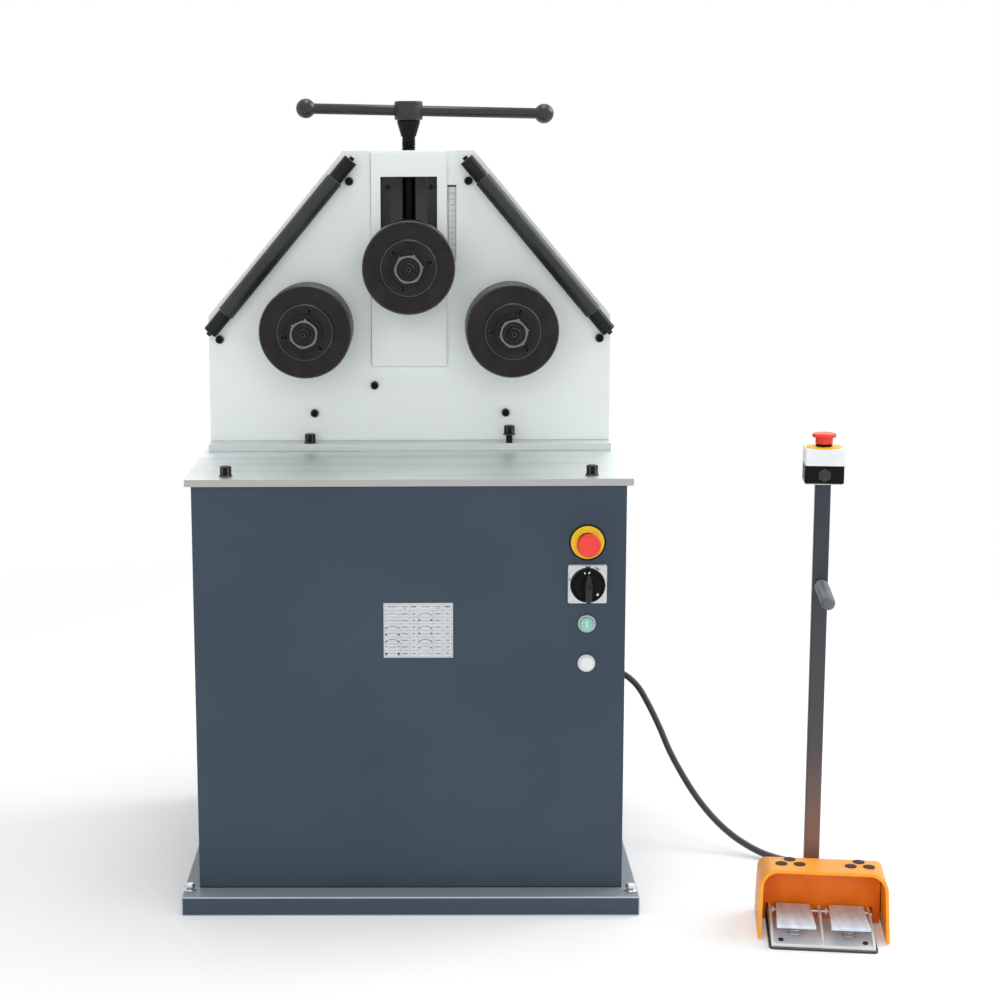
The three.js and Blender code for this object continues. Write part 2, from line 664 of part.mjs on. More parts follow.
function addSideRollers() {
  const run = (headWidth - headTopWidth) / 2;
  const slopeLength = Math.hypot(run, headSlopeRise);
  const alongX = run / slopeLength;
  const alongZ = headSlopeRise / slopeLength;
  const centreX = (headWidth + headTopWidth) / 4 - alongZ * rodInset + alongX * rodDrop;
  const centreZ = (shoulderZ + headTopZ) / 2 - alongX * rodInset - alongZ * rodDrop;
  for (const [word, side] of [['left', -1], ['right', 1]]) {
    const arm = new THREE.Group();
    arm.position.set(side * centreX, headFrontY - rodOut, centreZ);
    arm.rotation.y = -side * Math.atan2(alongX, alongZ);
    const half = sleeveLength / 2;
    const end = half + seatGap;
    const tip = end + rodEndLength;
    const rodR = rodDiameter / 2;
    const endR = rodEndDiameter / 2;
    const rod = turned([[0, -tip], [endR, -tip], [endR, -end], [rodR, -end], [rodR, end], [endR, end],
      [endR, tip], [0, tip]], mediumSides);
    const posts = [-1, 1].map((way) => upright(bar(rodR, seatGap - rodOut, 0, smallSides))
      .translate(0, 0, way * (tip - rodEndDiameter / 2)));
    addPart(arm, `side_rod_${word}`, join(rod, ...posts), paint.blackSteel);
    const sleeve = turned([[sleeveBore / 2, -half], [sleeveDiameter / 2, -half], [sleeveDiameter / 2, half],
      [sleeveBore / 2, half]], mediumSides);
    addPart(arm, `side_roller_${word}`, sleeve, paint.blackSteel);
    machine.add(arm);
  }
}

// Switches on the cabinet's front, one above the other.
const legendDiameter = 60;
const legendThickness = 2;
const stemDiameter = 16;
const stemInside = 20;
const mushroomDiameter = 39;
const mushroomNeck = 28;
const mushroomOut = 32;
const mushroomRim = 8;
const emergencyTravel = 4;
const isolatorSize = 64;
const isolatorThickness = 9;
const knobDiameter = 57;
const knobThickness = 12;
const gripWidth = 12;
const gripHeight = 17;
const bezelDiameter = 30;
const bezelThickness = 5;
const capDiameter = 22;
const capOut = 8.5;
const lampDiameter = 29;
const lampOut = 10;

// Mushroom head about Z: the stem runs down from zero, the dome ends at topOut.
function mushroomHead(stemLength, legOut, topOut) {
  const low = legOut + emergencyTravel + seatGap;
  const rimLow = topOut - mushroomRim;
  const headR = mushroomDiameter / 2;
  const neckR = mushroomNeck / 2;
  return turned([[0, -stemLength], [stemDiameter / 2, -stemLength], [stemDiameter / 2, low], [neckR, low],
    [neckR, rimLow], [headR, rimLow + mushroomRim / 4], [headR, topOut - mushroomRim / 3],
    [neckR, topOut - mushroomRim / 8], [0, topOut]]);
}

function addSwitches() {
  const panel = new THREE.Group();
  panel.position.set(buttonColumnX, cabinetFrontY, 0);
  panel.rotation.x = quarterTurn;
  machine.add(panel);
  const stemR = stemDiameter / 2;
  const holeR = stemR + seatGap;
  const shankR = stemHole / 2 - seatGap;

  const legend = turned([[holeR, -cabinetSheet], [shankR, -cabinetSheet], [shankR, seatGap],
    [legendDiameter / 2, seatGap], [legendDiameter / 2, legendThickness], [bezelDiameter / 2, legendThickness],
    [bezelDiameter / 2, bezelThickness], [holeR, bezelThickness]]);
  addPart(panel, 'estop_legend', legend, paint.yellow, [0, emergencyZ, 0]);
  addPart(panel, 'estop_head', mushroomHead(stemInside, bezelThickness, mushroomOut), paint.red,
    [0, emergencyZ, 0]);

  const face = plate(roundedRectangle(isolatorSize, isolatorSize, gripWidth / 2), isolatorThickness - seatGap)
    .translate(0, 0, seatGap);
  addPart(panel, 'isolator_plate', cut(face, bar(holeR, -overrun, isolatorThickness + overrun)),
    paint.greyPlastic, [0, isolatorZ, 0]);
  const discLow = isolatorThickness + seatGap;
  const discHigh = discLow + knobThickness;
  const knobR = knobDiameter / 2;
  const disc = turned([[0, -stemInside], [stemR, -stemInside], [stemR, discLow], [knobR, discLow],
    [knobR, discHigh - ringEase], [knobR - ringEase, discHigh], [0, discHigh]]);
  const grip = plate(roundedRectangle(gripWidth, knobDiameter - ringEase, gripWidth / 3), gripHeight + overrun)
    .translate(0, 0, discHigh - overrun);
  addPart(panel, 'isolator_knob', join(disc, grip), paint.blackPlastic, [0, isolatorZ, 0]);

  const capR = capDiameter / 2;
  const bezelR = bezelDiameter / 2;
  const bezel = turned([[holeR, seatGap], [bezelR, seatGap], [bezelR, bezelThickness - seatGap],
    [bezelR - 3 * seatGap, bezelThickness], [capR + seatGap, bezelThickness],
    [capR + seatGap, 4 * seatGap], [holeR, 4 * seatGap]], mediumSides);
  addPart(panel, 'start_bezel', bezel, paint.chrome, [0, startZ, 0]);
  const capLow = bezelThickness;
  const cap = turned([[0, -stemInside], [stemR, -stemInside], [stemR, capLow], [capR, capLow],
    [capR, capOut - 2 * seatGap], [capR - 2 * seatGap, capOut], [0, capOut]], mediumSides);
  addPart(panel, 'start_cap', cap, paint.green, [0, startZ, 0]);

  const lampR = lampDiameter / 2;
  const lamp = turned([[0, -stemInside], [shankR, -stemInside], [shankR, seatGap], [lampR, seatGap],
    [lampR, bezelThickness], [capR, bezelThickness], [capR - 3 * seatGap, lampOut - 5 * seatGap],
    [capR / 2, lampOut], [0, lampOut]], mediumSides);
  addPart(panel, 'signal_lamp', lamp, paint.greyPlastic, [0, lampZ, 0]);
}

// Foot switch: a stand plate with its pole, a cast pan, two sprung pedals and a guard.
const footAside = 303.3;
const footAhead = 200;
const footTurn = (7 * halfTurn) / 180;
const panWidth = 172;
const panDepth = 172;
const standDepth = 208;
const standThickness = 4;
const panFloor = 5;
const panWall = 4;
const panWallHeight = 26;
const panWallFrontHeight = 7;
const panWallSlopeEnd = 90;
const panInset = 4;
const switchBoxDepth = 42;
const switchBoxHeight = 34;
const pedalWidth = 62;
const pedalLength = 100;
const pedalThickness = 4;
const pedalFrontInset = 9;
const pedalTopZ = 38;
const pedalLip = 5;
const pedalCentreX = 43;
const pinDiameter = 6;
const pinSetback = 104;
const pinZ = 28;
const cheekThickness = 4;
const cheekDepth = 18;
const guardWidth = 209;
const guardTopWidth = 204;
const guardX = 2.5;
const guardHeight = 113;
const guardWall = 5;
const guardCorner = 30;
const guardFrontY = 38;
const guardTopFrontY = 56;
const guardTopRearY = 108;
const guardRearY = 172;
const guardLift = 3;
const guardHole = 14;
const guardHoleGroups = [-50, 61];
const guardHoleSpread = 14.6;
const guardHoleFrontY = 88.4;
const guardHoleRearY = 110;
const springWire = 2;
const springLowRadius = 11;
const springHighRadius = 7;
const springTurns = 4;
const wireSides = 5;
const springY = 43;
const poleX = -9;
const poleY = 192;
const poleSize = 25;
const poleWall = 2;
const poleTopZ = 731.5;
const glandX = 30;
const glandBoreRadius = 7.5;
const footGlandZ = 20;
const conduitDiameter = 13;
const footX = cabinetWidth / 2 + footAside;
const footFrontY = cabinetFrontY - footAhead;

// A tube from rings of points along a path, closed at both ends by a fan.
function tubeOfRings(rings, capped) {
  const positions = rings.flat().flatMap((point) => [point.x, point.y, point.z]);
  const count = rings[0].length;
  const index = [];
  for (let ring = 0; ring + 1 < rings.length; ring += 1) {
    for (let i = 0; i < count; i += 1) {
      const a = ring * count + i;
      const b = ring * count + ((i + 1) % count);
      index.push(a, b, b + count, a, b + count, a + count);
    }
  }
  if (capped) {
    const last = (rings.length - 1) * count;
    for (let i = 1; i + 1 < count; i += 1) {
      index.push(0, i + 1, i, last, last + i, last + i + 1);
    }
  }
  const geometry = new THREE.BufferGeometry();
  geometry.setAttribute('position', new THREE.Float32BufferAttribute(positions, 3));
  geometry.setIndex(index);
  return geometry;
}

// Frames that follow a path without twisting: one side vector is carried along it.
function ringAlong(point, tangent, side, radius, count) {
  const up = new THREE.Vector3().crossVectors(tangent, side).normalize();
  const ring = [];
  for (let i = 0; i < count; i += 1) {
    const angle = (2 * halfTurn * i) / count;
    ring.push(point.clone().addScaledVector(side, radius * Math.cos(angle))
      .addScaledVector(up, radius * Math.sin(angle)));
  }
  return ring;
}

// A conical compression spring about Z, and the least gap between its turns.
function springGeometry(lowZ, highZ) {
  const stepsPerTurn = 8;
  const steps = stepsPerTurn * springTurns;
  const wireR = springWire / 2;
  const at = (step) => {
    const share = step / steps;
    const angle = (2 * halfTurn * step) / stepsPerTurn;
    const radius = springLowRadius + (springHighRadius - springLowRadius) * share;
    const height = lowZ + wireR + (highZ - lowZ - springWire) * share;
    return new THREE.Vector3(radius * Math.cos(angle), radius * Math.sin(angle), height);
  };
  const rings = [];
  const middles = [];
  for (let step = 0; step <= steps; step += 1) {
    const tangent = at(step + 1 / 2).sub(at(step - 1 / 2)).normalize();
    const side = new THREE.Vector3(0, 0, 1).addScaledVector(tangent, -tangent.z).normalize();
    rings.push(ringAlong(at(step), tangent, side, wireR, wireSides));
    middles.push(at(step));
  }
  let least = Infinity;
  for (let i = 0; i < middles.length; i += 1) {
    for (let j = i + stepsPerTurn / 2; j < middles.length; j += 1) {
      least = Math.min(least, middles[i].distanceTo(middles[j]) - springWire);
    }
  }
  return { geometry: tubeOfRings(rings, true), least };
}

// One straight wall-to-wall outline of the guard, seen from the front.
function guardFrontShape(shrink) {
  const low = guardWidth / 2 - shrink;
  const high = guardTopWidth / 2 - shrink;
  const top = guardHeight - shrink;
  const radius = guardCorner - shrink;
  const bottom = guardLift - (shrink ? overrun : 0);
  const shape = new THREE.Shape();
  shape.moveTo(-low, bottom);
  shape.lineTo(low, bottom);
  shape.lineTo(high, top - radius);
  shape.absarc(high - radius, top - radius, radius, 0, quarterTurn, false);
  shape.lineTo(radius - high, top);
  shape.absarc(radius - high, top - radius, radius, quarterTurn, halfTurn, false);
  return shape;
}

// The guard's side view: a slanted open front, a flat top and a rounded back.
function guardSideShape(shrink) {
  const top = guardHeight - shrink;
  const rear = guardRearY - shrink;
  const bottom = guardLift - (shrink ? overrun : 0);
  const front = shrink ? overrun : 0;
  const radius = guardRearY - guardTopRearY - shrink;
  const shape = new THREE.Shape();
  shape.moveTo(guardFrontY - front, bottom);
  shape.lineTo(rear, bottom);
  shape.lineTo(rear, top - radius);
  shape.absarc(rear - radius, top - radius, radius, 0, quarterTurn, false);
  shape.lineTo(guardTopFrontY - front, top);
  return shape;
}

function guardSolid(shrink) {
  const acrossFront = upright(plate(guardFrontShape(shrink), guardRearY + 2 * overrun, 5))
    .translate(0, guardRearY + overrun, 0);
  const acrossSide = plate(guardSideShape(shrink), guardWidth + 2 * overrun, 5)
    .rotateX(quarterTurn).rotateZ(quarterTurn).translate(-guardWidth / 2 - overrun, 0, 0);
  return common(acrossFront, acrossSide);
}

function addFootSwitch() {
  const foot = new THREE.Group();
  foot.position.set(footX, footFrontY, 0);
  foot.rotation.z = -footTurn;
  machine.add(foot);
  const halfPan = panWidth / 2;
  const poleOuter = plate(roundedRectangle(poleSize, poleSize, 2 * poleWall - seatGap), poleTopZ)
    .translate(poleX, poleY, 0);
  const poleInside = poleSize - 2 * poleWall;
  const poleInner = plate(roundedRectangle(poleInside, poleInside, poleWall), poleTopZ)
    .translate(poleX, poleY, standThickness);
  const stand = plate(roundedRectangle(panWidth, standDepth, 2 * panWall), standThickness)
    .translate(0, standDepth / 2, 0);
  addPart(foot, 'foot_stand', cut(join(stand, poleOuter), poleInner), paint.slate);

  const low = standThickness;
  const floorZ = low + panFloor;
  const rearY = panDepth - guardWall - seatGap;
  const sideX = halfPan - panInset;
  const boxFrontY = rearY - switchBoxDepth;
  // Walls and divider are high at the pedals' pin and slope down to the front.
  const wallShape = new THREE.Shape();
  wallShape.moveTo(panInset, low);
  wallShape.lineTo(rearY, low);
  wallShape.lineTo(rearY, low + panWallHeight);
  wallShape.lineTo(panWallSlopeEnd, low + panWallHeight);
  wallShape.lineTo(panInset, low + panWallFrontHeight);
  const wall = (x) => plate(wallShape, panWall).rotateX(quarterTurn).rotateZ(quarterTurn)
    .translate(x - panWall / 2, 0, 0);
  const pinBore = sideways(bar(pinDiameter / 2 + runningGap, -halfPan, halfPan, smallSides))
    .translate(0, pinSetback, pinZ);
  const glandBore = upright(bar(glandBoreRadius, -2 * panDepth, 0, smallSides))
    .translate(glandX, 0, footGlandZ);
  const pan = cut(
    join(block([-sideX, panInset, low], [sideX, rearY, floorZ]), wall(panWall / 2 - sideX), wall(0),
      wall(sideX - panWall / 2),
      block([-sideX, boxFrontY, low], [sideX, rearY, switchBoxHeight])),
    pinBore,
    common(glandBore, block([0, rearY - switchBoxDepth / 2, 0], [halfPan, panDepth * 2, panDepth])),
  );
  addPart(foot, 'foot_base', pan, paint.aluminium);
  const pinHalf = sideX - panWall / 4;
  addPart(foot, 'pedal_pin', sideways(bar(pinDiameter / 2, -pinHalf, pinHalf, smallSides)), paint.chrome,
    [0, pinSetback, pinZ]);

  for (const [word, side] of [['left', -1], ['right', 1]]) {
    const halfPedal = pedalWidth / 2;
    const underZ = pedalTopZ - pedalThickness;
    const pedalRearY = pedalFrontInset + pedalLength;
    const cheek = (way) => {
      const lowX = way * halfPedal - (way > 0 ? cheekThickness : 0);
      return block([lowX, pinSetback - cheekDepth / 2, pinZ - cheekDepth / 4],
        [lowX + cheekThickness, pinSetback + cheekDepth / 4, underZ]);
    };
    const boss = (way) => sideways(bar(cheekDepth / 3, -cheekThickness / 2, cheekThickness / 2, smallSides))
      .translate(way * (halfPedal - cheekThickness / 2), pinSetback, pinZ);
    const pedal = cut(
      join(block([-halfPedal, pedalFrontInset, underZ], [halfPedal, pedalRearY, pedalTopZ]),
        block([-halfPedal, pedalFrontInset, pedalTopZ - pedalLip],
          [halfPedal, pedalFrontInset + pedalThickness, pedalTopZ]),
        cheek(-1), cheek(1), boss(-1), boss(1)),
      sideways(bar(pinDiameter / 2 + runningGap, -pedalWidth, pedalWidth, smallSides))
        .translate(0, pinSetback, pinZ),
    );
    addPart(foot, `pedal_${word}`, pedal, paint.aluminium, [side * pedalCentreX, 0, 0]);
    const { geometry, least } = springGeometry(floorZ + seatGap, underZ - seatGap);
    console.log(`pedal_spring_${word}: least gap between turns ${least.toFixed(2)} mm`);
    addPart(foot, `pedal_spring_${word}`, geometry, paint.chrome, [side * pedalCentreX, springY, 0]);
  }

  const holeAt = (x, y) => bar(guardHole / 2, guardHeight - guardCorner, guardHeight + overrun, smallSides)
    .translate(x, y, 0);
  const holes = guardHoleGroups.flatMap((x) => [holeAt(x - guardHoleSpread, guardHoleFrontY),
    holeAt(x + guardHoleSpread, guardHoleFrontY), holeAt(x, guardHoleRearY)]);
  const wallHole = upright(bar(glandBoreRadius, -guardRearY - overrun, -guardRearY + 2 * overrun, smallSides))
    .translate(glandX, 0, footGlandZ);
  const standRelief = block([-halfPan - 3 * seatGap, 0, 0],
    [halfPan + 3 * seatGap, standDepth, standThickness + seatGap]);
  const guard = cut(guardSolid(0).translate(guardX, 0, 0), guardSolid(guardWall).translate(guardX, 0, 0),
    standRelief, wallHole, ...holes);
  addPart(foot, 'foot_guard', guard, paint.orange);

  addStation(foot);
  addFootGland(foot);
}

// Pole top: a two-part box with a stop button, and below it a grip.
const stationSize = 63;
const stationBaseHeight = 28.5;
const stationCoverHeight = 27;
const stationStopOut = 24;
const stationWall = 3;
const stationCorner = 5;
const gripLength = 92;
const gripDiameter = 23;
const gripZ = 564;
const gripDroop = (9 * halfTurn) / 180;
const gripTurn = (4 * halfTurn) / 180;
const gripStub = 9;
const gripNeckShare = 0.8;
const gripRows = 4;

function addStation(foot) {
  const station = new THREE.Group();
  station.position.set(poleX, poleY, poleTopZ);
  foot.add(station);
  const outline = roundedRectangle(stationSize, stationSize, stationCorner);
  const insideSize = stationSize - 2 * stationWall;
  const inner = roundedRectangle(insideSize, insideSize, stationCorner - stationWall);
  const tray = cut(plate(outline, stationBaseHeight),
    plate(inner, stationBaseHeight).translate(0, 0, stationWall));
  addPart(station, 'station_box', tray, paint.blackPlastic);
  const coverZ = stationBaseHeight + seatGap;
  const lid = cut(plate(outline, stationCoverHeight),
    plate(inner, stationCoverHeight).translate(0, 0, -stationWall),
    bar(stemDiameter / 2 + seatGap, 0, stationCoverHeight + overrun));
  addPart(station, 'station_cover', lid, paint.white, [0, 0, coverZ]);
  const topZ = coverZ + stationCoverHeight;
  addPart(station, 'station_stop_head', mushroomHead(stemInside, 0, stationStopOut), paint.red, [0, 0, topZ]);

  const grip = new THREE.Group();
  grip.position.set(0, -poleSize / 2 - seatGap, gripZ - poleTopZ);
  station.add(grip);
  const gripR = gripDiameter / 2;
  const profile = [[0, 0], [gripR * gripNeckShare, 0], [gripR, gripR / 2], [gripR, gripLength - gripR]];
  for (let step = 1; step <= gripRows; step += 1) {
    const angle = (step * quarterTurn) / gripRows;
    profile.push([step === gripRows ? 0 : gripR * Math.cos(angle),
      gripLength - gripR + gripR * Math.sin(angle)]);
  }
  const handle = turned(profile, mediumSides).translate(0, 0, gripStub).rotateX(quarterTurn + gripDroop)
    .rotateZ(gripTurn);
  const stub = upright(bar(gripR / 2, 0, gripStub + gripR, smallSides));
  addPart(grip, 'pole_grip', join(handle, stub), paint.blackRubber);
}

// Conduit: a ribbed hose from the cabinet's side to the foot switch's rear wall.
const glandHex = 24;
const glandHexHeight = 8;
const glandDomeHeight = 6;
const ribPitch = 7.4;
const ribDepth = 1.1;
const conduitBore = 8;
const boreEvery = 5;
const hoseSides = 8;
const ribLimit = 200;
const glandTail = 2;
const glandOverlap = 1;
const conduitDip = 2;

function glandGeometry(shank, shankR) {
  const hex = plate(hexagon(glandHex), glandHexHeight - seatGap).translate(0, 0, seatGap);
  const domeR = glandHex / 2;
  const dome = turned([[0, glandHexHeight - glandOverlap], [domeR, glandHexHeight - glandOverlap],
    [domeR - ringEase, glandHexHeight + glandDomeHeight], [0, glandHexHeight + glandDomeHeight]], smallSides);
  const tail = bar(shankR, -shank, glandHexHeight, smallSides);
  return cut(join(hex, dome, tail),
    bar(conduitBore / 2, -shank - overrun, 2 * glandHexHeight + overrun, smallSides));
}

function addFootGland(foot) {
  const gland = glandGeometry(guardWall + glandTail, glandBoreRadius - seatGap).rotateX(-quarterTurn);
  addPart(foot, 'foot_gland', gland, paint.blackPlastic, [glandX, guardRearY, footGlandZ]);
}

// Points of the hose's middle line between its glands: shares of the way across, of the way
// forwards, and of the exit's height above the hose where it lies on the floor.
const routeShares = [
  [0.087, 0.0012, 0.9765], [0.1514, 0.0072, 0.9095], [0.21, 0.0263, 0.799],
  [0.2685, 0.0549, 0.6616], [0.3212, 0.0931, 0.5209], [0.3827, 0.1385, 0.3936],
  [0.4501, 0.1887, 0.2764], [0.5145, 0.2364, 0.1893], [0.5789, 0.2818, 0.1223],
  [0.6434, 0.3248, 0.072], [0.7078, 0.3654, 0.0369], [0.7722, 0.4036, 0.0117],
  [0.8279, 0.437, 0.0023], [0.9128, 0.4967, 0.0013], [0.9831, 0.5731, 0.0013],
  [1.0241, 0.6591, 0.0013], [1.0416, 0.7499, 0.0013], [1.0416, 0.8311, 0.0067],
];

function conduitRoute() {
  const startX = cabinetWidth / 2 + glandHexHeight + glandDomeHeight + seatGap;
  const start = new THREE.Vector3(startX, conduitExitY, conduitExitZ);
  const end = new THREE.Vector3(glandX, guardRearY + glandHexHeight + glandDomeHeight + seatGap, footGlandZ)
    .applyAxisAngle(new THREE.Vector3(0, 0, 1), -footTurn).add(new THREE.Vector3(footX, footFrontY, 0));
  const back = new THREE.Vector3(Math.sin(footTurn), Math.cos(footTurn), 0);
  const onFloorZ = conduitDiameter / 2;
  const middle = routeShares.map(([across, forwards, height]) => new THREE.Vector3(
    start.x + across * (end.x - start.x),
    start.y + forwards * (end.y - start.y),
    onFloorZ + height * (start.z - onFloorZ),
  ));
  const points = [
    start,
    start.clone().add(new THREE.Vector3(conduitDiameter, 0, 0)),
    ...middle,
    end.clone().addScaledVector(back, 2 * conduitDiameter).add(new THREE.Vector3(0, 0, -conduitDip)),
    end.clone().addScaledVector(back, conduitDiameter),
    end,
  ];
  return new THREE.CatmullRomCurve3(points, false, 'centripetal');
}

function addConduit() {
  const gland = sideways(glandGeometry(cabinetSheet + glandTail, cableHole / 2 - seatGap));
  addPart(machine, 'cabinet_gland', gland, paint.blackPlastic, [cabinetWidth / 2, conduitExitY, conduitExitZ]);

  const curve = conduitRoute();
  curve.arcLengthDivisions = 800;
  const length = curve.getLength();
  const ribs = Math.min(ribLimit, Math.floor(length / ribPitch));
  const crest = conduitDiameter / 2;
  const root = crest - ribDepth;
  const bore = conduitBore / 2;
  const outer = [];
  const inner = [];
  let side = new THREE.Vector3(0, 1, 0);
  for (let step = 0; step <= 2 * ribs; step += 1) {
    const share = step / (2 * ribs);
    const tangent = curve.getTangentAt(share);
    side = side.clone().addScaledVector(tangent, -side.dot(tangent)).normalize();
    const point = curve.getPointAt(share);
    outer.push(ringAlong(point, tangent, side, step % 2 ? crest : root, hoseSides));
    if (step % (2 * boreEvery) === 0 || step === 2 * ribs) {
      inner.push(ringAlong(point, tangent, side, bore, hoseSides));
    }
  }
  addPart(machine, 'conduit', hoseGeometry(outer, inner), paint.blackPlastic);
  console.log(`conduit: ${length.toFixed(0)} mm long, ${ribs} ribs`);
}

// Joins the ribbed outside and the plain bore into one closed skin.
function hoseGeometry(outer, inner) {
  const count = outer[0].length;
  const outside = tubeOfRings(outer, false);
  const inside = tubeOfRings(inner, false);
  const start = outside.attributes.position.count;
  const positions = [...outside.attributes.position.array, ...inside.attributes.position.array];
  const index = [...outside.index.array];
  const insideIndex = inside.index.array;
  for (let i = 0; i < insideIndex.length; i += 3) {
    index.push(insideIndex[i] + start, insideIndex[i + 2] + start, insideIndex[i + 1] + start);
  }
  const outerLast = (outer.length - 1) * count;
  const innerLast = start + (inner.length - 1) * count;
  for (let i = 0; i < count; i += 1) {
    const next = (i + 1) % count;
    index.push(i, start + next, next, i, start + i, start + next);
    index.push(outerLast + i, outerLast + next, innerLast + next);
    index.push(outerLast + i, innerLast + next, innerLast + i);
  }
  const geometry = new THREE.BufferGeometry();
  geometry.setAttribute('position', new THREE.Float32BufferAttribute(positions, 3));
  geometry.setIndex(index);
  return geometry;
}

addPlinth();
addCabinet();
addTable();
addHead();
addSlide();
addRolls();
addDrive();
addSideRollers();
addSwitches();
addFootSwitch();
addConduit();

export default machine;
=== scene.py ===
import math
import bpy
import bmesh
from mathutils import Matrix, Vector


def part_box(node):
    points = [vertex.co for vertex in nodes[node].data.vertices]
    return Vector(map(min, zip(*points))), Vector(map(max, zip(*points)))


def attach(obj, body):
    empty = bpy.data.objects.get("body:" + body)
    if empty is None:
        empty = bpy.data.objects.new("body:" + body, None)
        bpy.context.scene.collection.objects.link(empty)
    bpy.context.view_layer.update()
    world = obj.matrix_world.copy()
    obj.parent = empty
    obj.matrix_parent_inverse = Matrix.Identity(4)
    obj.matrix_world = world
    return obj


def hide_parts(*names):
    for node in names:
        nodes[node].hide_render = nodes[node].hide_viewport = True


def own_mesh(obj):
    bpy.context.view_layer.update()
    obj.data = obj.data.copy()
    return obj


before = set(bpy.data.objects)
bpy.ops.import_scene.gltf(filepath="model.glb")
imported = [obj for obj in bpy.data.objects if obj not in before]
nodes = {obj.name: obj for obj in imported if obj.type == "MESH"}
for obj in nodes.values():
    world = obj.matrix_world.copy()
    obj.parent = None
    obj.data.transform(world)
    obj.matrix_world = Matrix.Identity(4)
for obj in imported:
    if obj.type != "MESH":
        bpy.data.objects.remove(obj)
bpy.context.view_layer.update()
mm = 0.001


# Colour, nodes and materials

def linearColour(hexColour):
    channels = []
    for start in (1, 3, 5):
        value = int(hexColour[start:start + 2], 16) / 255
        channels.append(value / 12.92 if value <= 0.04045 else ((value + 0.055) / 1.055) ** 2.4)
    return (*channels, 1.0)


def setInputs(tree, node, inputs):
    for key, value in inputs.items():
        if isinstance(value, bpy.types.NodeSocket):
            tree.links.new(value, node.inputs[key])
        else:
            node.inputs[key].default_value = value


def addNode(tree, kind, inputs=None, **settings):
    node = tree.nodes.new(kind)
    for key, value in settings.items():
        setattr(node, key, value)
    setInputs(tree, node, inputs or {})
    return node


# Colours that change along a factor; stops: (position, hex)
def colourBands(tree, factor, stops):
    bands = addNode(tree, "ShaderNodeValToRGB", {"Fac": factor})
    ramp = bands.color_ramp.elements
    while len(ramp) < len(stops):
        ramp.new(0.5)
    for element, (position, hexColour) in zip(ramp, stops):
        element.position = position
        element.color = linearColour(hexColour)
    return bands


def newMaterial(name, hexColour, metallic=0.0, roughness=0.5, gloss=0.5):
    material = bpy.data.materials.new(name)
    material.use_nodes = True
    tree = material.node_tree
    shader = tree.nodes["Principled BSDF"]
    setInputs(tree, shader, {"Base Color": linearColour(hexColour), "Metallic": metallic, "Roughness": roughness,
                             "Specular IOR Level": gloss})
    material.diffuse_color = linearColour(hexColour)
    return material, tree, shader


# Finish whose colour drifts between two hexes, with uneven gloss and a fine bump. detail: the sizes of drift and
# grain and the grain's depth in mm, then how far patches are smoother and rougher than the rest.
def newFinish(name, hexLow, hexHigh, rough, gloss, detail, metallic=0.0, stretch=(1, 1, 1)):
    material, tree, shader = newMaterial(name, hexHigh, metallic, rough, gloss)
    driftMm, grainMm, grainDepthMm, smoother, rougher = detail
    place = addNode(tree, "ShaderNodeTexCoord")
    turned = addNode(tree, "ShaderNodeMapping", {"Vector": place.outputs["Object"], "Scale": stretch})
    drift, grain = (addNode(tree, "ShaderNodeTexNoise",
                            {"Vector": turned.outputs[0], "Scale": 1 / (size * mm), "Detail": octaves})
                    for size, octaves in ((driftMm, 4.0), (grainMm, 3.0)))
    colours = colourBands(tree, drift.outputs[0], [(0.3, hexLow), (0.7, hexHigh)])
    uneven = addNode(tree, "ShaderNodeMapRange", {"Value": grain.outputs[0], "From Min": 0.3, "From Max": 0.7,
                                                  "To Min": rough - smoother, "To Max": rough + rougher})
    bump = addNode(tree, "ShaderNodeBump",
                   {"Height": grain.outputs[0], "Distance": grainDepthMm * mm, "Strength": 0.6})
    setInputs(tree, shader, {"Base Color": colours.outputs[0], "Roughness": uneven.outputs[0],
                             "Normal": bump.outputs[0]})
    return material, {"tree": tree, "shader": shader, "place": place, "bump": bump, "colours": colours,
                      "uneven": uneven}


# Where a mesh's own attribute for rubbed and lit edges is 1, the finish takes another colour: wear rubbed through it,
# and a painted highlight.
def wornEdges(made, hexWearAndHighlight, roughWearAndHighlight, metallicKept=0.0, metallicWearAndHighlight=1.0):
    tree = made["tree"]
    share = addNode(tree, "ShaderNodeAttribute", attribute_name="wear_and_highlight").outputs["Fac"]
    colour = addNode(tree, "ShaderNodeMix", {0: share, 6: made["colours"].outputs[0], 7: linearColour(hexWearAndHighlight)},
                     data_type="RGBA")
    smoother = addNode(tree, "ShaderNodeMix", {0: share, 2: made["uneven"].outputs[0], 3: roughWearAndHighlight})
    metal = addNode(tree, "ShaderNodeMapRange", {"Value": share, "To Min": metallicKept, "To Max": metallicWearAndHighlight})
    setInputs(tree, made["shader"], {"Base Color": colour.outputs[2], "Roughness": smoother.outputs[0],
                                     "Metallic": metal.outputs[0]})


powderDetail = (240, 2.2, 0.05, 0.06, 0.08)


# Powder coat: a baked paint whose skin ripples like orange peel every 2 mm or so.
def powderCoat(name, hexLow, hexHigh, rough=0.42, gloss=0.3):
    return newFinish(name, hexLow, hexHigh, rough, gloss, powderDetail)[0]


# Powder coat with painted light: its colour changes with height between stops of (height in mm, hex).
def dustyCoat(name, stops, rough, gloss, hexWearAndHighlight):
    material, made = newFinish(name, stops[0][1], stops[0][1], rough, gloss, powderDetail)
    low, high = stops[0][0], stops[-1][0]
    height = addNode(made["tree"], "ShaderNodeSeparateXYZ", {0: made["place"].outputs["Object"]})
    share = addNode(made["tree"], "ShaderNodeMapRange", {"Value": height.outputs["Z"], "From Min": low * mm,
                                                         "From Max": high * mm})
    made["colours"] = colourBands(made["tree"], share.outputs[0],
                                  [((z - low) / (high - low), colour) for z, colour in stops])
    wornEdges(made, hexWearAndHighlight, rough, 0.0, 0.0)
    return material
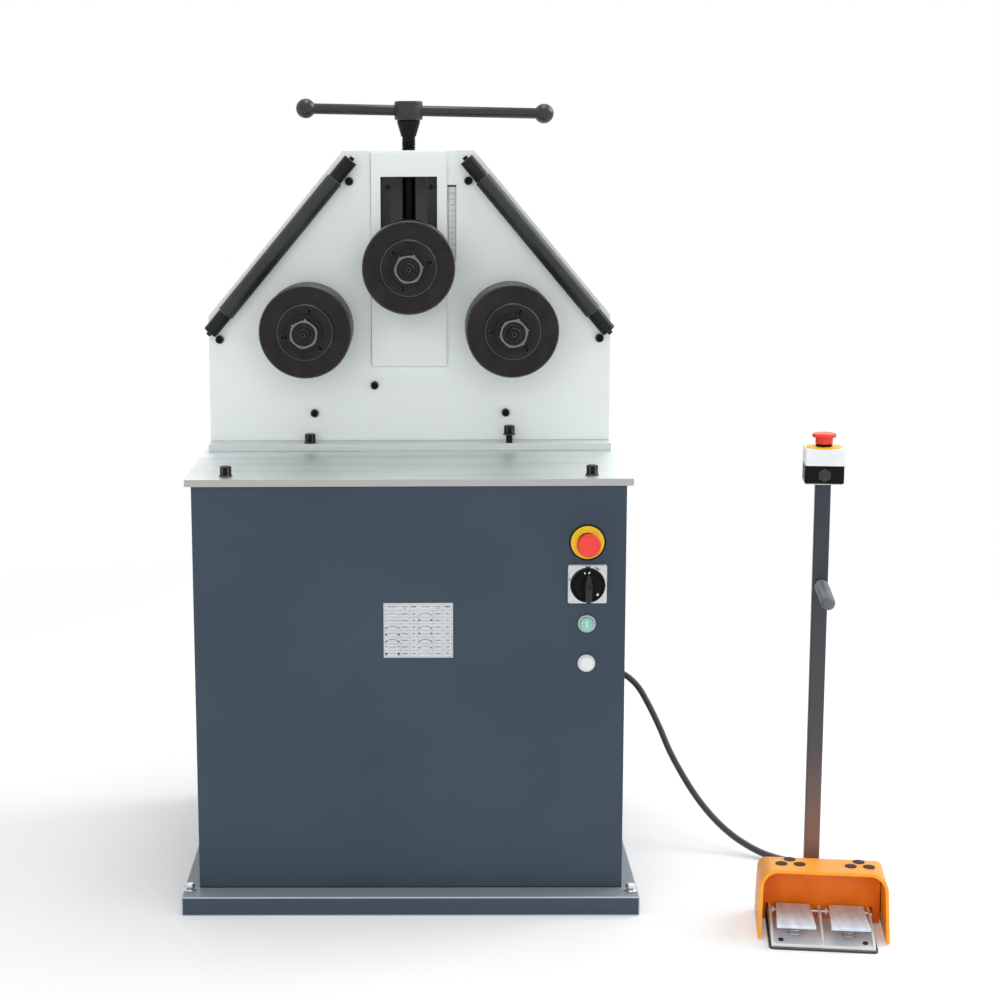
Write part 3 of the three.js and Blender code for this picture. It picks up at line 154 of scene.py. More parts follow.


# Blackened steel: near black and satin, its corners paler, as wear and as a painted highlight.
def blackenedSteel(name, hexLow, hexHigh, rough=0.34, gloss=0.15, hexWearAndHighlight="#5C5C5F"):
    material, made = newFinish(name, hexLow, hexHigh, rough, gloss, (40, 1.4, 0.02, 0.06, 0.1))
    wornEdges(made, hexWearAndHighlight, 0.3)
    return material


# Extruded nylon sheath: black in its grooves, shinier on its crests, which a painted highlight makes grey.
def scuffedSheath(name, hexLow, hexHigh, hexWearAndHighlight):
    material, made = newFinish(name, hexLow, hexHigh, 0.36, 0.8, (30, 1.0, 0.03, 0.04, 0.1))
    wornEdges(made, hexWearAndHighlight, 0.26, 0.0, 0.0)
    return material


# Moulded plastic: a fine spark-eroded texture, slightly uneven gloss.
def mouldedPlastic(name, hexLow, hexHigh, rough=0.45, grain=0.8, gloss=0.5):
    return newFinish(name, hexLow, hexHigh, rough, gloss, (30, grain, 0.03, 0.06, 0.08))[0]


# Bare metal: streaks left by the grinder or brush along the stretched axis, patches of a duller tone.
def bareMetal(name, hexLow, hexHigh, rough=0.34, stretch=(0.12, 1, 1), metallic=1.0, driftMm=70):
    return newFinish(name, hexLow, hexHigh, rough, 0.5, (driftMm, 3.0, 0.03, 0.08, 0.14), metallic, stretch)[0]


# Black oxide on turned steel: dark, satin, with the lathe tool's fine rings about the roll's axis.
def turnedBlackSteel(name, centre, hexLow="#1C1B1A", hexHigh="#2A2827", ringMm=2.4, rough=0.36, metallic=0.45):
    material, made = newFinish(name, hexLow, hexHigh, rough, 0.3, (34, 1.6, 0.008, 0.05, 0.1), metallic)
    # its eased edges turn paler metal, as wear and as a painted highlight
    wornEdges(made, "#4E4E4D", 0.24, metallic)
    tree = made["tree"]
    moved = addNode(tree, "ShaderNodeMapping", {"Vector": made["place"].outputs["Object"], "Scale": (1, 0, 1),
                                                "Location": (-centre[0], 0, -centre[2])})
    away = addNode(tree, "ShaderNodeVectorMath", {0: moved.outputs[0]}, operation="LENGTH")
    rings = addNode(tree, "ShaderNodeMath", {0: away.outputs["Value"], 1: 2 * math.pi / (ringMm * mm)},
                    operation="MULTIPLY")
    wave = addNode(tree, "ShaderNodeMath", {0: rings.outputs[0]}, operation="SINE")
    ringBump = addNode(tree, "ShaderNodeBump", {"Height": wave.outputs[0], "Distance": 0.01 * mm,
                                                "Strength": 0.4, "Normal": made["bump"].outputs[0]})
    setInputs(tree, made["shader"], {"Normal": ringBump.outputs[0]})
    return material


finishes = {
    "slate": powderCoat("powder-coated steel slate", "#3A4753", "#404D5A", 0.44, 0.16),
    # painted sheen makes the flange's top paler, and a painted highlight makes its folded edge pale
    "traySlate": dustyCoat("powder-coated steel slate tray", [(31.6, "#3D4A56"), (32.6, "#7C868F"), (33, "#8A949C")],
                           0.44, 0.3, "#B4BEC8"),
    # painted reflection of the orange guard makes the tube paler and warmer near its foot
    "poleSlate": dustyCoat("powder-coated tube dark slate", [(4, "#3A3B3F"), (130, "#806661"), (290, "#4C4B4E"),
                                                           (740, "#333C44")], 0.4, 0.25, "#7A7C80"),
    "white": powderCoat("powder-coated steel white", "#E7EEEC", "#EEF4F2", 0.4, 0.3),
    "steel": bareMetal("ground mild steel", "#C8D0CF", "#E9F0EF", 0.42, (0.12, 1, 1), 1.0, 90),
    "strip": bareMetal("planed mild steel", "#C6CBCC", "#E0E5E6", 0.4),
    "blackSteel": blackenedSteel("black oxide steel", "#101012", "#18181B", 0.34, 0.12),
    "glossBlack": blackenedSteel("black chromed steel", "#121415", "#1B1E1F", 0.26, 0.6),
    # the nut's bevels turn paler, as wear and as a painted highlight
    "nutBlack": blackenedSteel("black oxide nut", "#0E0E0F", "#151517", 0.3, 0.25, "#77777A"),
    "shaftBlack": blackenedSteel("black oxide shaft", "#0D0D0E", "#141415", 0.36, 0.22, "#6A6A6C"),
    "guideBlack": blackenedSteel("blackened guide strip", "#2A2A2C", "#353537", 0.4, 0.2),
    "gripGrey": mouldedPlastic("grey vinyl grip", "#5A6064", "#686E72", 0.45, 1.0, 0.4),
    "rod": blackenedSteel("black painted tube", "#141716", "#1C201F", 0.38, 0.2),
    # black strips of painted shadow
    "shadowStrip": mouldedPlastic("black strip of painted shadow", "#202225", "#2B2D31", 0.6, 1.2, 0.3),
    "threadBlack": blackenedSteel("black oxide lifting screw", "#101012", "#18181B", 0.34, 0.12, "#18181B"),
    "sleeve": blackenedSteel("satin black sleeve", "#1C201F", "#262B2A", 0.42, 0.5),
    # its crests grey as a painted highlight
    "hose": scuffedSheath("black sheathed conduit", "#060607", "#0B0B0C", "#606264"),
    # brown-black discs of painted shade over the guard's holes
    "holeShade": mouldedPlastic("brown-black disc of painted shade", "#2A1D12", "#38271A", 0.55, 1.0, 0.2),
    "blackPlastic": mouldedPlastic("black nylon", "#08090A", "#101113", 0.4, 0.8, 0.12),
    "gripBlack": mouldedPlastic("dark grey nylon", "#1B1D1D", "#252828", 0.42, 0.8, 0.3),
    "greyPlastic": mouldedPlastic("pale grey ABS", "#C6CBCD", "#D3D8DA", 0.42),
    "satinChrome": bareMetal("satin chromed brass", "#A9AFB2", "#C2C8CA", 0.34, (1, 1, 1), 0.7),
    "whitePlastic": mouldedPlastic("white polycarbonate", "#DADDDF", "#E3E6E8", 0.36),
    "red": mouldedPlastic("red moulded nylon", "#E0322A", "#F0453A", 0.36),
    "yellow": mouldedPlastic("yellow printed ABS", "#E8B80E", "#F2C822", 0.45),
    "green": mouldedPlastic("green translucent acrylic", "#7DBEAA", "#93CFBE", 0.3),
    "orange": mouldedPlastic("orange moulded ABS", "#F89B18", "#FBA623", 0.42, 1.1),
    # the guard's orange, darker and deeper as painted shade
    "shadedOrange": mouldedPlastic("orange moulded ABS with painted shade", "#E8700C", "#F2801A", 0.46, 1.1),
    "castAluminium": bareMetal("die-cast aluminium", "#DEE2E6", "#F1F4F7", 0.5, (1, 1, 1), 0.1),
    "brushedAluminium": bareMetal("brushed aluminium plate", "#C4D2DE", "#E4EEF6", 0.6, (1, 0.08, 1), 0.05, 12),
    "chrome": bareMetal("bright zinc plate", "#C9CDD0", "#E6E9EB", 0.18, (1, 1, 1)),
    "iron": bareMetal("machined cast iron", "#6F7477", "#8F9598", 0.5, (1, 1, 1)),
    "motor": powderCoat("blue motor enamel", "#284059", "#33506E", 0.4),
    "stationGrey": mouldedPlastic("light grey polycarbonate", "#E4E7EA", "#EEF0F2", 0.42),
    "printGrey": mouldedPlastic("dark screen print", "#232528", "#303236", 0.5),
    "printPale": mouldedPlastic("grey screen print", "#84888B", "#94989B", 0.5),
    "chartSheet": mouldedPlastic("printed aluminium sheet", "#C6C9CB", "#D0D3D5", 0.45),
}


# The plate's sawn front edge is darker than its ground face: a duller skin, and painted shade.
def sawnFrontEdge(material, frontY, hexEdge):
    tree = material.node_tree
    shader = tree.nodes["Principled BSDF"]
    colour = shader.inputs["Base Color"].links[0].from_socket
    place = addNode(tree, "ShaderNodeTexCoord")
    spot = addNode(tree, "ShaderNodeSeparateXYZ", {0: place.outputs["Object"]})
    share = addNode(tree, "ShaderNodeMapRange", {"Value": spot.outputs["Y"], "From Min": frontY + 0.2 * mm,
                                                 "From Max": frontY + 1.2 * mm, "To Min": 1.0, "To Max": 0.0})
    mixed = addNode(tree, "ShaderNodeMix", {0: share.outputs[0], 6: colour, 7: linearColour(hexEdge)},
                    data_type="RGBA")
    tree.links.new(mixed.outputs[2], shader.inputs["Base Color"])


sawnFrontEdge(finishes["steel"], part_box("table_plate")[0].y, "#B8B6B5")
print("materials ready")


def linked(name, data):
    made = bpy.data.objects.new(name, data)
    bpy.context.scene.collection.objects.link(made)
    return made


# Camera at the photograph's viewing angle
cameraSettings = {
    "place": (0.0223, -3.5077, 1.2501), "focalMm": 71.37, "sensorMm": 36.0,
    "pitchDeg": 9.719, "yawDeg": -0.624, "rollDeg": 0.294, "shiftX": 0.09895,
}


def addCamera(s):
    pitch, yaw, roll = (math.radians(s[key]) for key in ("pitchDeg", "yawDeg", "rollDeg"))
    forward = Vector((math.sin(yaw) * math.cos(pitch), math.cos(yaw) * math.cos(pitch), -math.sin(pitch)))
    right = Vector((math.cos(yaw), -math.sin(yaw), 0))
    down = -right.cross(forward)
    tiltedRight = math.cos(roll) * right + math.sin(roll) * down
    tiltedUp = math.sin(roll) * right - math.cos(roll) * down
    data = bpy.data.cameras.new("camera")
    data.lens = s["focalMm"]
    data.sensor_width = s["sensorMm"]
    data.sensor_fit = "HORIZONTAL"
    data.shift_x = s["shiftX"]
    camera = linked("camera", data)
    turn = Matrix((tiltedRight, tiltedUp, -forward)).transposed().to_4x4()
    camera.matrix_world = Matrix.Translation(s["place"]) @ turn
    bpy.context.scene.camera = camera
    print("camera ready")


addCamera(cameraSettings)


# Mesh helpers

# shape: a mesh, or a function that builds one
def addObject(name, shape, finish, body, replaced=(), smoothDeg=30):
    mesh = meshFrom(name, shape) if callable(shape) else shape
    piece = linked(name, mesh)
    mesh.materials.clear()
    mesh.materials.append(finishes[finish] if isinstance(finish, str) else finish)
    mesh.shade_smooth()
    mesh.set_sharp_from_angle(angle=math.radians(smoothDeg))
    markWorn(mesh)
    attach(piece, body)
    if replaced:
        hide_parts(*replaced)
    return piece


# Stores 1 on the narrow faces of eased outside edges, where wear and a painted highlight go, and 0 elsewhere.
def markWorn(mesh, leastTurnDeg=35, widestMm=2.2):
    if "wear_and_highlight" in mesh.attributes:
        return
    form = bmesh.new()
    form.from_mesh(mesh)
    values = []
    for face in form.faces:
        longest = sorted(face.edges, key=lambda edge: -edge.calc_length())[:2]
        turn = sum(edge.calc_face_angle_signed(0) for edge in longest)
        width = face.calc_area() / max(longest[0].calc_length(), 1e-9)
        values.append(1.0 if turn > math.radians(leastTurnDeg) and width < widestMm * mm else 0.0)
    form.free()
    mesh.attributes.new("wear_and_highlight", "FLOAT", "FACE").data.foreach_set("value", values)


def meshFrom(name, build):
    form = bmesh.new()
    build(form)
    mesh = bpy.data.meshes.new(name)
    form.to_mesh(mesh)
    form.free()
    return mesh


# Rounds the corners of an open outline of (radius, height) points.
def easedOutline(points, ease, steps=3):
    result = [points[0]]
    for before, corner, after in zip(points, points[1:], points[2:]):
        corner, before, after = Vector(corner), Vector(before), Vector(after)
        reach = min(ease, (before - corner).length * 0.45, (after - corner).length * 0.45)
        start = corner + (before - corner).normalized() * reach
        end = corner + (after - corner).normalized() * reach
        for step in range(steps + 1):
            t = step / steps
            result.append(tuple((1 - t) ** 2 * start + 2 * t * (1 - t) * corner + t ** 2 * end))
    result.append(points[-1])
    return result


def shifted(x, y, z=0.0):
    return Matrix.Translation((x * mm, y * mm, z * mm))


def spun(degrees, axis="Z"):
    return Matrix.Rotation(math.radians(degrees), 4, axis)


def polar(radius, angle, height):
    return Vector((radius * mm * math.cos(angle), radius * mm * math.sin(angle), height * mm))


def angles(sides):
    return [2 * math.pi * i / sides for i in range(sides)]


# Faces between two loops of points; a loop of one point closes the piece there.
def bridge(form, low, high):
    sides = max(len(low), len(high))
    faces = []
    for i in range(sides):
        j = (i + 1) % sides
        if len(low) == 1:
            corners = (high[i], high[j], low[0])
        elif len(high) == 1:
            corners = (low[i], low[j], high[0])
        else:
            corners = (low[i], low[j], high[j], high[i])
        faces.append(form.faces.new(corners))
    return faces


# Turned piece about local +Z; an outline whose ends lie on the axis is closed there by a fan.
def revolve(form, outline, place=Matrix(), sides=96):
    rings = [[form.verts.new(place @ polar(radius, angle, height)) for angle in (angles(sides) if radius else [0])]
             for radius, height in outline]
    if outline[0] == outline[-1]:
        rings[-1] = rings[0]
    for low, high in zip(rings, rings[1:]):
        bridge(form, low, high)
    loose = [vertex for vertex in form.verts if not vertex.link_faces]
    bmesh.ops.delete(form, geom=loose, context="VERTS")


def band(inner, outer, low, high):
    return [(inner, low), (outer, low), (outer, high), (inner, high)]


# Piece made of turned parts, each (outline, place). An outline that starts off the axis closes into a ring.
def addTurned(name, parts, finish, body, replaced=(), smoothDeg=40, sides=72, ease=0.4, steps=2):
    def build(form):
        for outline, place in parts:
            line = easedOutline(outline, ease, steps) if ease else outline
            revolve(form, [*line, line[0]] if outline[0][0] else line, place, sides)
    return addObject(name, build, finish, body, replaced, smoothDeg)


# Prism of an outline along local +Z, with eased edges.
def prism(form, outline, depth, place=Matrix(), ease=0.0, steps=2):
    made = bmesh.new()
    lower = [made.verts.new((x * mm, y * mm, 0)) for x, y in outline]
    face = made.faces.new(lower)
    raised = bmesh.ops.extrude_face_region(made, geom=[face])
    tops = [item for item in raised["geom"] if isinstance(item, bmesh.types.BMVert)]
    bmesh.ops.translate(made, verts=tops, vec=(0, 0, depth * mm))
    bmesh.ops.recalc_face_normals(made, faces=made.faces)
    if ease:
        sharp = [edge for edge in made.edges if edge.calc_face_angle(0) > math.radians(25)]
        bmesh.ops.bevel(made, geom=sharp, offset=ease * mm, segments=steps, affect="EDGES", profile=0.5)
    made.transform(place)
    copyInto(form, made)
    made.free()


def copyInto(form, made):
    copied = {vertex: form.verts.new(vertex.co) for vertex in made.verts}
    for face in made.faces:
        form.faces.new([copied[vertex] for vertex in face.verts])


def cuboid(form, low, high, place=Matrix(), ease=0.6):
    outline = [(low[0], low[1]), (high[0], low[1]), (high[0], high[1]), (low[0], high[1])]
    prism(form, outline, high[2] - low[2], place @ shifted(0, 0, low[2]), ease)


def roundRectangle(width, height, radius, steps=6):
    points = []
    for cornerX, cornerY, start in ((1, -1, -90), (1, 1, 0), (-1, 1, 90), (-1, -1, 180)):
        centreX = cornerX * (width / 2 - radius)
        centreY = cornerY * (height / 2 - radius)
        for step in range(steps + 1):
            angle = math.radians(start + 90 * step / steps)
            points.append((centreX + radius * math.cos(angle), centreY + radius * math.sin(angle)))
    return points


def hexagonPoints(acrossFlats, turnDeg=0):
    radius = acrossFlats / math.sqrt(3)
    corners = [math.radians(60 * i + turnDeg) for i in range(6)]
    return [(radius * math.cos(angle), radius * math.sin(angle)) for angle in corners]


def hexagonEdge(acrossFlats, angle):
    sector = (angle % (math.pi / 3)) - math.pi / 6
    radius = acrossFlats / 2 / math.cos(sector)
    return radius * math.cos(angle), radius * math.sin(angle)


# Places a piece drawn along +Z so that it points at the operator from a point in metres.
def towardsOperator(x, y, z):
    return Matrix(((1, 0, 0, x), (0, 0, -1, y), (0, 1, 0, z), (0, 0, 0, 1)))


def awayFromOperator(x, y, z):
    return Matrix(((-1, 0, 0, x), (0, 0, 1, y), (0, 1, 0, z), (0, 0, 0, 1)))


# Conduit: ribbed hose from the cabinet's side to the foot switch
conduitSettings = {
    "diameterMm": 13.0, "ribPitchMm": 3.5, "ribDepthMm": 1.5, "sides": 20, "ringsPerRib": 6,
    "footPlace": (661.3, -500.0), "footTurnDeg": 7.0, "glandPlace": (30.0, 172.0, 20.0),
    "glandLengthMm": 14.3, "exit": (372.3, 100.0, 305.0), "ribForm": [0.0, 0.35, 0.9, 1.0, 0.9, 0.35],
    "middle": [(402, 99.5, 298), (424, 97, 278), (444, 89, 245), (464, 77, 204), (482, 61, 162), (503, 42, 124),
               (526, 21, 89), (548, 1, 63), (570, -18, 43), (592, -36, 28), (614, -53, 17.5), (636, -69, 10),
               (655, -83, 7.2), (684, -108, 6.9), (708, -140, 6.9), (722, -176, 6.9), (728, -214, 6.9),
               (728, -248, 8.5)],
}


def footPoint(x, y, z):
    turn = math.radians(-conduitSettings["footTurnDeg"])
    placeX, placeY = conduitSettings["footPlace"]
    return Vector((placeX + x * math.cos(turn) - y * math.sin(turn),
                   placeY + x * math.sin(turn) + y * math.cos(turn), z))


def conduitPoints(s):
    start = Vector(s["exit"])
    glandX, glandY, glandZ = s["glandPlace"]
    end = footPoint(glandX, glandY + s["glandLengthMm"], glandZ)
    back = (footPoint(0, 1, 0) - footPoint(0, 0, 0)).normalized()
    points = [start, start + Vector((s["diameterMm"], 0, 0))]
    points += [Vector(point) for point in s["middle"]]
    points += [end + back * 2 * s["diameterMm"] + Vector((0, 0, -2)), end + back * s["diameterMm"], end]
    return points


# Centripetal spline through the points, cut into short straight steps.
def splineThrough(points, stepsEach=24):
    ends = [2 * points[0] - points[1], *points, 2 * points[-1] - points[-2]]
    line = []
    for a, b, c, d in zip(ends, ends[1:], ends[2:], ends[3:]):
        before, across, after = ((b - a).length ** 0.5, (c - b).length ** 0.5, (d - c).length ** 0.5)
        leave = ((b - a) / before - (c - a) / (before + across) + (c - b) / across) * across
        arrive = ((c - b) / across - (d - b) / (across + after) + (d - c) / after) * across
        for step in range(stepsEach):
            t = step / stepsEach
            line.append(b + leave * t + (3 * c - 3 * b - 2 * leave - arrive) * t ** 2
                        + (2 * b - 2 * c + leave + arrive) * t ** 3)
    return [*line, points[-1]]


def evenlySpaced(line, count):
    reach = [0.0]
    for a, b in zip(line, line[1:]):
        reach.append(reach[-1] + (b - a).length)
    result = []
    i = 0
    for step in range(count + 1):
        wanted = reach[-1] * step / count
        while i < len(line) - 2 and reach[i + 1] < wanted:
            i += 1
        share = (wanted - reach[i]) / (reach[i + 1] - reach[i])
        result.append(line[i].lerp(line[i + 1], min(1, share)))
    return result, reach[-1]


# Tube whose radius changes from ring to ring; closed at both ends.
def tubeAlong(form, line, radii, sides):
    side = Vector((0, 1, 0))
    rings = []
    for i, point in enumerate(line):
        tangent = (line[min(i + 1, len(line) - 1)] - line[max(i - 1, 0)]).normalized()
        side = (side - tangent * side.dot(tangent)).normalized()
        other = tangent.cross(side)
        rings.append([form.verts.new((point + radii[i] * (math.cos(a) * side + math.sin(a) * other)) * mm)
                      for a in angles(sides)])
    for low, high in zip(rings, rings[1:]):
        bridge(form, low, high)
    form.faces.new(rings[0][::-1])
    form.faces.new(rings[-1])


def addConduit(s):
    line = splineThrough(conduitPoints(s))
    ribs = round(evenlySpaced(line, 1)[1] / s["ribPitchMm"])
    centres, length = evenlySpaced(line, ribs * s["ringsPerRib"])
    crest = s["diameterMm"] / 2
    rise = s["ribForm"]
    radii = [crest - s["ribDepthMm"] * (1 - rise[i % s["ringsPerRib"]]) for i in range(len(centres))]
    mesh = meshFrom("ribbed_conduit", lambda form: tubeAlong(form, centres, radii, s["sides"]))
    # A painted highlight makes the ribs' crests grey, and the grooves between them stay black.
    crestHighlight = [rise[i // s["sides"] % s["ringsPerRib"]] ** 5 for i in range(len(mesh.vertices))]
    mesh.attributes.new("wear_and_highlight", "FLOAT", "POINT").data.foreach_set("value", crestHighlight)
    hose = addObject("ribbed_conduit", mesh, "hose", "frame", ("conduit",), 50)
    print(f"conduit ready: {length:.0f} mm, {ribs} ribs")


addConduit(conduitSettings)


# Geometry Nodes tree that sets a template on every point, turned and stretched by the point's own values
def scatterTree():
    tree = bpy.data.node_groups.new("set template on points", "GeometryNodeTree")
    face = tree.interface
    for name, kind in (("Points", "Geometry"), ("Template", "Object"), ("Unit Size", "Float"),
                       ("Finish", "Material")):
        face.new_socket(name, in_out="INPUT", socket_type=f"NodeSocket{kind}")
    face.new_socket("Result", in_out="OUTPUT", socket_type="NodeSocketGeometry")
    given = addNode(tree, "NodeGroupInput")
    template = addNode(tree, "GeometryNodeObjectInfo", {"Object": given.outputs["Template"]})
    turn = addNode(tree, "GeometryNodeInputNamedAttribute", {"Name": "turn"}, data_type="FLOAT_VECTOR")
    stretch = addNode(tree, "GeometryNodeInputNamedAttribute", {"Name": "stretch"}, data_type="FLOAT_VECTOR")
    size = addNode(tree, "ShaderNodeVectorMath", {0: stretch.outputs["Attribute"], 3: given.outputs["Unit Size"]},
                   operation="SCALE")
    angle = addNode(tree, "FunctionNodeEulerToRotation", {0: turn.outputs["Attribute"]})
    placed = addNode(tree, "GeometryNodeInstanceOnPoints",
                     {"Points": given.outputs["Points"], "Instance": template.outputs["Geometry"],
                      "Rotation": angle.outputs[0], "Scale": size.outputs[0]})
    solid = addNode(tree, "GeometryNodeRealizeInstances", {"Geometry": placed.outputs[0]})
    dressed = addNode(tree, "GeometryNodeSetMaterial",
                      {"Geometry": solid.outputs[0], "Material": given.outputs["Finish"]})
    addNode(tree, "NodeGroupOutput", {"Result": dressed.outputs[0]})
    return tree


setOnPoints = scatterTree()


# places: list of (matrix in metres, stretch in mm); gives one plain mesh in place
def scattered(name, template, places, finish, body, smoothDeg=30):
    mesh = bpy.data.meshes.new(f"{name}_points")
    mesh.from_pydata([place.translation for place, _ in places], [], [])
    turn = mesh.attributes.new("turn", "FLOAT_VECTOR", "POINT")
    stretch = mesh.attributes.new("stretch", "FLOAT_VECTOR", "POINT")
    for i, (place, size) in enumerate(places):
        turn.data[i].vector = place.to_euler()
        stretch.data[i].vector = size if hasattr(size, "__len__") else (size, size, size)
    carrier = linked(f"{name}_points", mesh)
    holder = bpy.data.objects.new(f"{name}_template", template)
    modifier = carrier.modifiers.new("scatter", "NODES")
    modifier.node_group = setOnPoints
    values = {"Template": holder, "Unit Size": mm, "Finish": finishes[finish]}
    for item in setOnPoints.interface.items_tree:
        if item.name in values and item.in_out == "INPUT":
            modifier[item.identifier] = values[item.name]
    evaluated = carrier.evaluated_get(bpy.context.evaluated_depsgraph_get())
    result = bpy.data.meshes.new_from_object(evaluated)
    result.name = name
    carrier.modifiers.clear()
    for extra in (carrier, holder):
        bpy.data.objects.remove(extra)
    return addObject(name, result, finish, body, (), smoothDeg)


# Unit templates, 1 mm across, for what repeats

def socketScrewTemplate(height=0.62, socket=0.5, sides=24):
    def build(form):
        rounded = [(0.5, 0), (0.5, height - 0.08), (0.47, height - 0.02), (0.42, height)]
        rings = [[form.verts.new((r * math.cos(a), r * math.sin(a), z)) for a in angles(sides)] for r, z in rounded]
        for z in (height, height * 0.4):
            rings.append([form.verts.new((*hexagonEdge(socket, a), z)) for a in angles(sides)])
        for low, high in zip(rings, rings[1:]):
            bridge(form, low, high)
        form.faces.new(rings[0][::-1])
        form.faces.new(rings[-1])
    return meshFrom("socket_screw_template", build)


# Flanged hexagon bolt, drawn 1 mm across its flats
def hexBoltTemplate(flange=0.69, height=0.75):
    def build(form):
        wide = flange * 1000
        revolve(form, [(0, 0), (wide - 30, 0), (wide, 50), (wide, 110), (wide - 60, 150), (0, 150)], Matrix(), 28)
        prism(form, hexagonPoints(1000), height * 1000 - 130, shifted(0, 0, 130), 60)
    return meshFrom("hex_bolt_template", build)


socketScrew = socketScrewTemplate()
buttonScrew = socketScrewTemplate(0.34, 0.46)
hexBolt = hexBoltTemplate()
tallBolt = hexBoltTemplate(0.66, 1.0)
unitBar = meshFrom("bar_template", lambda form: bmesh.ops.create_cube(form, size=1.0))


# Eased copies: a CAD node's own shape, with its edges rounded as a brake, mill or mould leaves them.
# Each row: finish, body, ease in mm, nodes.
easedNodes = [
    ("traySlate", "frame", 2.2, ["base_tray"]), ("slate", "frame", 2.4, ["cabinet_shell"]),
    ("slate", "frame", 0.8, ["cabinet_rear_panel"]), ("steel", "frame", 0.5, ["table_plate"]),
    ("strip", "frame", 0.8, ["head_base_plate"]), ("white", "frame", 1.0, ["head_front_plate", "window_cover"]),
    ("white", "frame", 1.5, ["head_housing"]), ("white", "frame", 0.8, ["head_rear_cover"]),
    ("guideBlack", "frame", 0.6, ["slide_guide_left", "slide_guide_right"]),
    ("blackSteel", "slide", 0.8, ["slide_block"]), ("castAluminium", "frame", 0.7, ["foot_base"]),
    ("poleSlate", "frame", 0.5, ["foot_stand"]), ("orange", "frame", 1.2, ["foot_guard"]),
    ("blackPlastic", "frame", 0.8, ["station_box"]), ("stationGrey", "frame", 1.0, ["station_cover"]),
    ("iron", "frame", 0.8, ["screw_bracket", "left_bearing", "right_bearing"]),
    ("motor", "frame", 0.8, ["gearmotor"]), ("chrome", "frame", 0.3, ["pedal_pin"]),
    ("gripGrey", "frame", 0.3, ["pole_grip"]), ("blackPlastic", "frame", 0.4, ["cabinet_gland", "foot_gland"]),
    ("iron", "left_roll", 0.3, ["left_gear"]), ("iron", "right_roll", 0.3, ["right_gear"]),
    ("iron", "pinion", 0.3, ["drive_pinion"]),
    *(("shaftBlack", f"{side}_roll", 0.5, [f"{side}_shaft"]) for side in ("top", "left", "right")),
]


# Flat faces keep flat shading beside their eased edges: each point's normal follows its largest faces.
def hardenNormals(mesh):
    form = bmesh.new()
    form.from_mesh(mesh)
    normals = []
    for vertex in form.verts:
        total = Vector()
        for face in vertex.link_faces:
            total += face.normal * face.calc_area()
        normals.append(total.normalized())
    form.free()
    mesh.normals_split_custom_set_from_vertices(normals)


def easedCopy(node, finish, body, ease, sharpDeg=32):
    def build(form):
        form.from_mesh(nodes[node].data)
        bmesh.ops.remove_doubles(form, verts=form.verts, dist=0.01 * mm)
        bmesh.ops.dissolve_limit(form, angle_limit=math.radians(0.6), verts=form.verts, edges=form.edges)
        sharp = [edge for edge in form.edges if edge.is_manifold and edge.calc_face_angle(0) > math.radians(sharpDeg)]
        bmesh.ops.bevel(form, geom=sharp, offset=ease * mm, segments=2, affect="EDGES", profile=0.5,
                        clamp_overlap=True)
    piece = addObject(f"{node}_eased", build, finish, body, (node,), 40)
    hardenNormals(piece.data)


for finish, body, ease, names in easedNodes:
    for node in names:
        easedCopy(node, finish, body, ease)
print("eased plates ready")


# Rolls: hardened and blackened steel rings on a shaft, each clamped by a washer and a nut
rollSettings = {
    "faceY": 0.050, "ringRadius": 80.0, "bossRadius": 49.0, "frontLow": 114.5, "frontHigh": 150.0,
    "bossHigh": 161.0, "rearLow": 40.2, "grooveLow": 75.7, "grooveHigh": 78.7, "rearHigh": 114.2,
    "grooveDepth": 3.0, "bore": 25.35, "washerHigh": 173.0, "washerRadius": 31.0, "nutHigh": 197.0,
    "nutAcross": 46.0, "nutBore": 15.4, "wearAndHighlightBands": (1, 2), "screwRadius": 38.5, "screwSize": 10.0,
    # the nut's corners are cut back from 4 mm under its top, its rim from 0.6 mm under it
    "cornerCut": 4.0, "rimCut": 0.6, "rimShare": 0.9, "faceShare": 0.44,
    # axis across and up in metres, body, angles of the set screws and turn of the nut in degrees
    "rolls": {"top": ((0, 1.0685), "top_roll", (133, 16, 255), 7),
              "left": ((-0.1785, 0.9595), "left_roll", (77, 192, 315), 22),
              "right": ((0.1785, 0.9595), "right_roll", (71, 181, 309), 12)},
}


def addRoll(side, s):
    (x, z), body, screwAngles, nutTurn = s["rolls"][side]
    place = towardsOperator(x, s["faceY"], z)
    turned = turnedBlackSteel(f"turned black steel {side} roll", (x, 0, z))
    ring, boss, bore, deep = s["ringRadius"], s["bossRadius"], s["bore"], s["ringRadius"] - s["grooveDepth"]
    front = [(bore, s["frontLow"]), (ring, s["frontLow"]), (ring, s["frontHigh"]), (boss + 1.5, s["frontHigh"]),
             (boss, s["frontHigh"] + 1.5), (boss, s["bossHigh"]), (bore, s["bossHigh"])]
    rear = [(bore, s["rearLow"]), (ring, s["rearLow"]), (ring, s["grooveLow"]), (deep, s["grooveLow"] + 0.4),
            (deep, s["grooveHigh"] - 0.4), (ring, s["grooveHigh"]), (ring, s["rearHigh"]), (bore, s["rearHigh"])]
    for name, outline, node, ease, steps in (("front_ring", front, "roll_front", 2.2, 3),
                                             ("rear_rings", rear, "roll_rear", 1.2, 2)):
        addTurned(f"{side}_{name}", [(outline, place)], turned, body, (f"{side}_{node}",), 40, 128, ease, steps)
    addObject(f"{side}_clamp_nut", lambda form: clampNut(form, place @ spun(nutTurn), s), "nutBlack", body,
              (f"{side}_roll_nut",), 32)
    screws = [(place @ Matrix.Translation(polar(s["screwRadius"], math.radians(angle), s["bossHigh"])),
               s["screwSize"]) for angle in screwAngles]
    scattered(f"{side}_ring_screws", socketScrew, screws, "blackSteel", body)
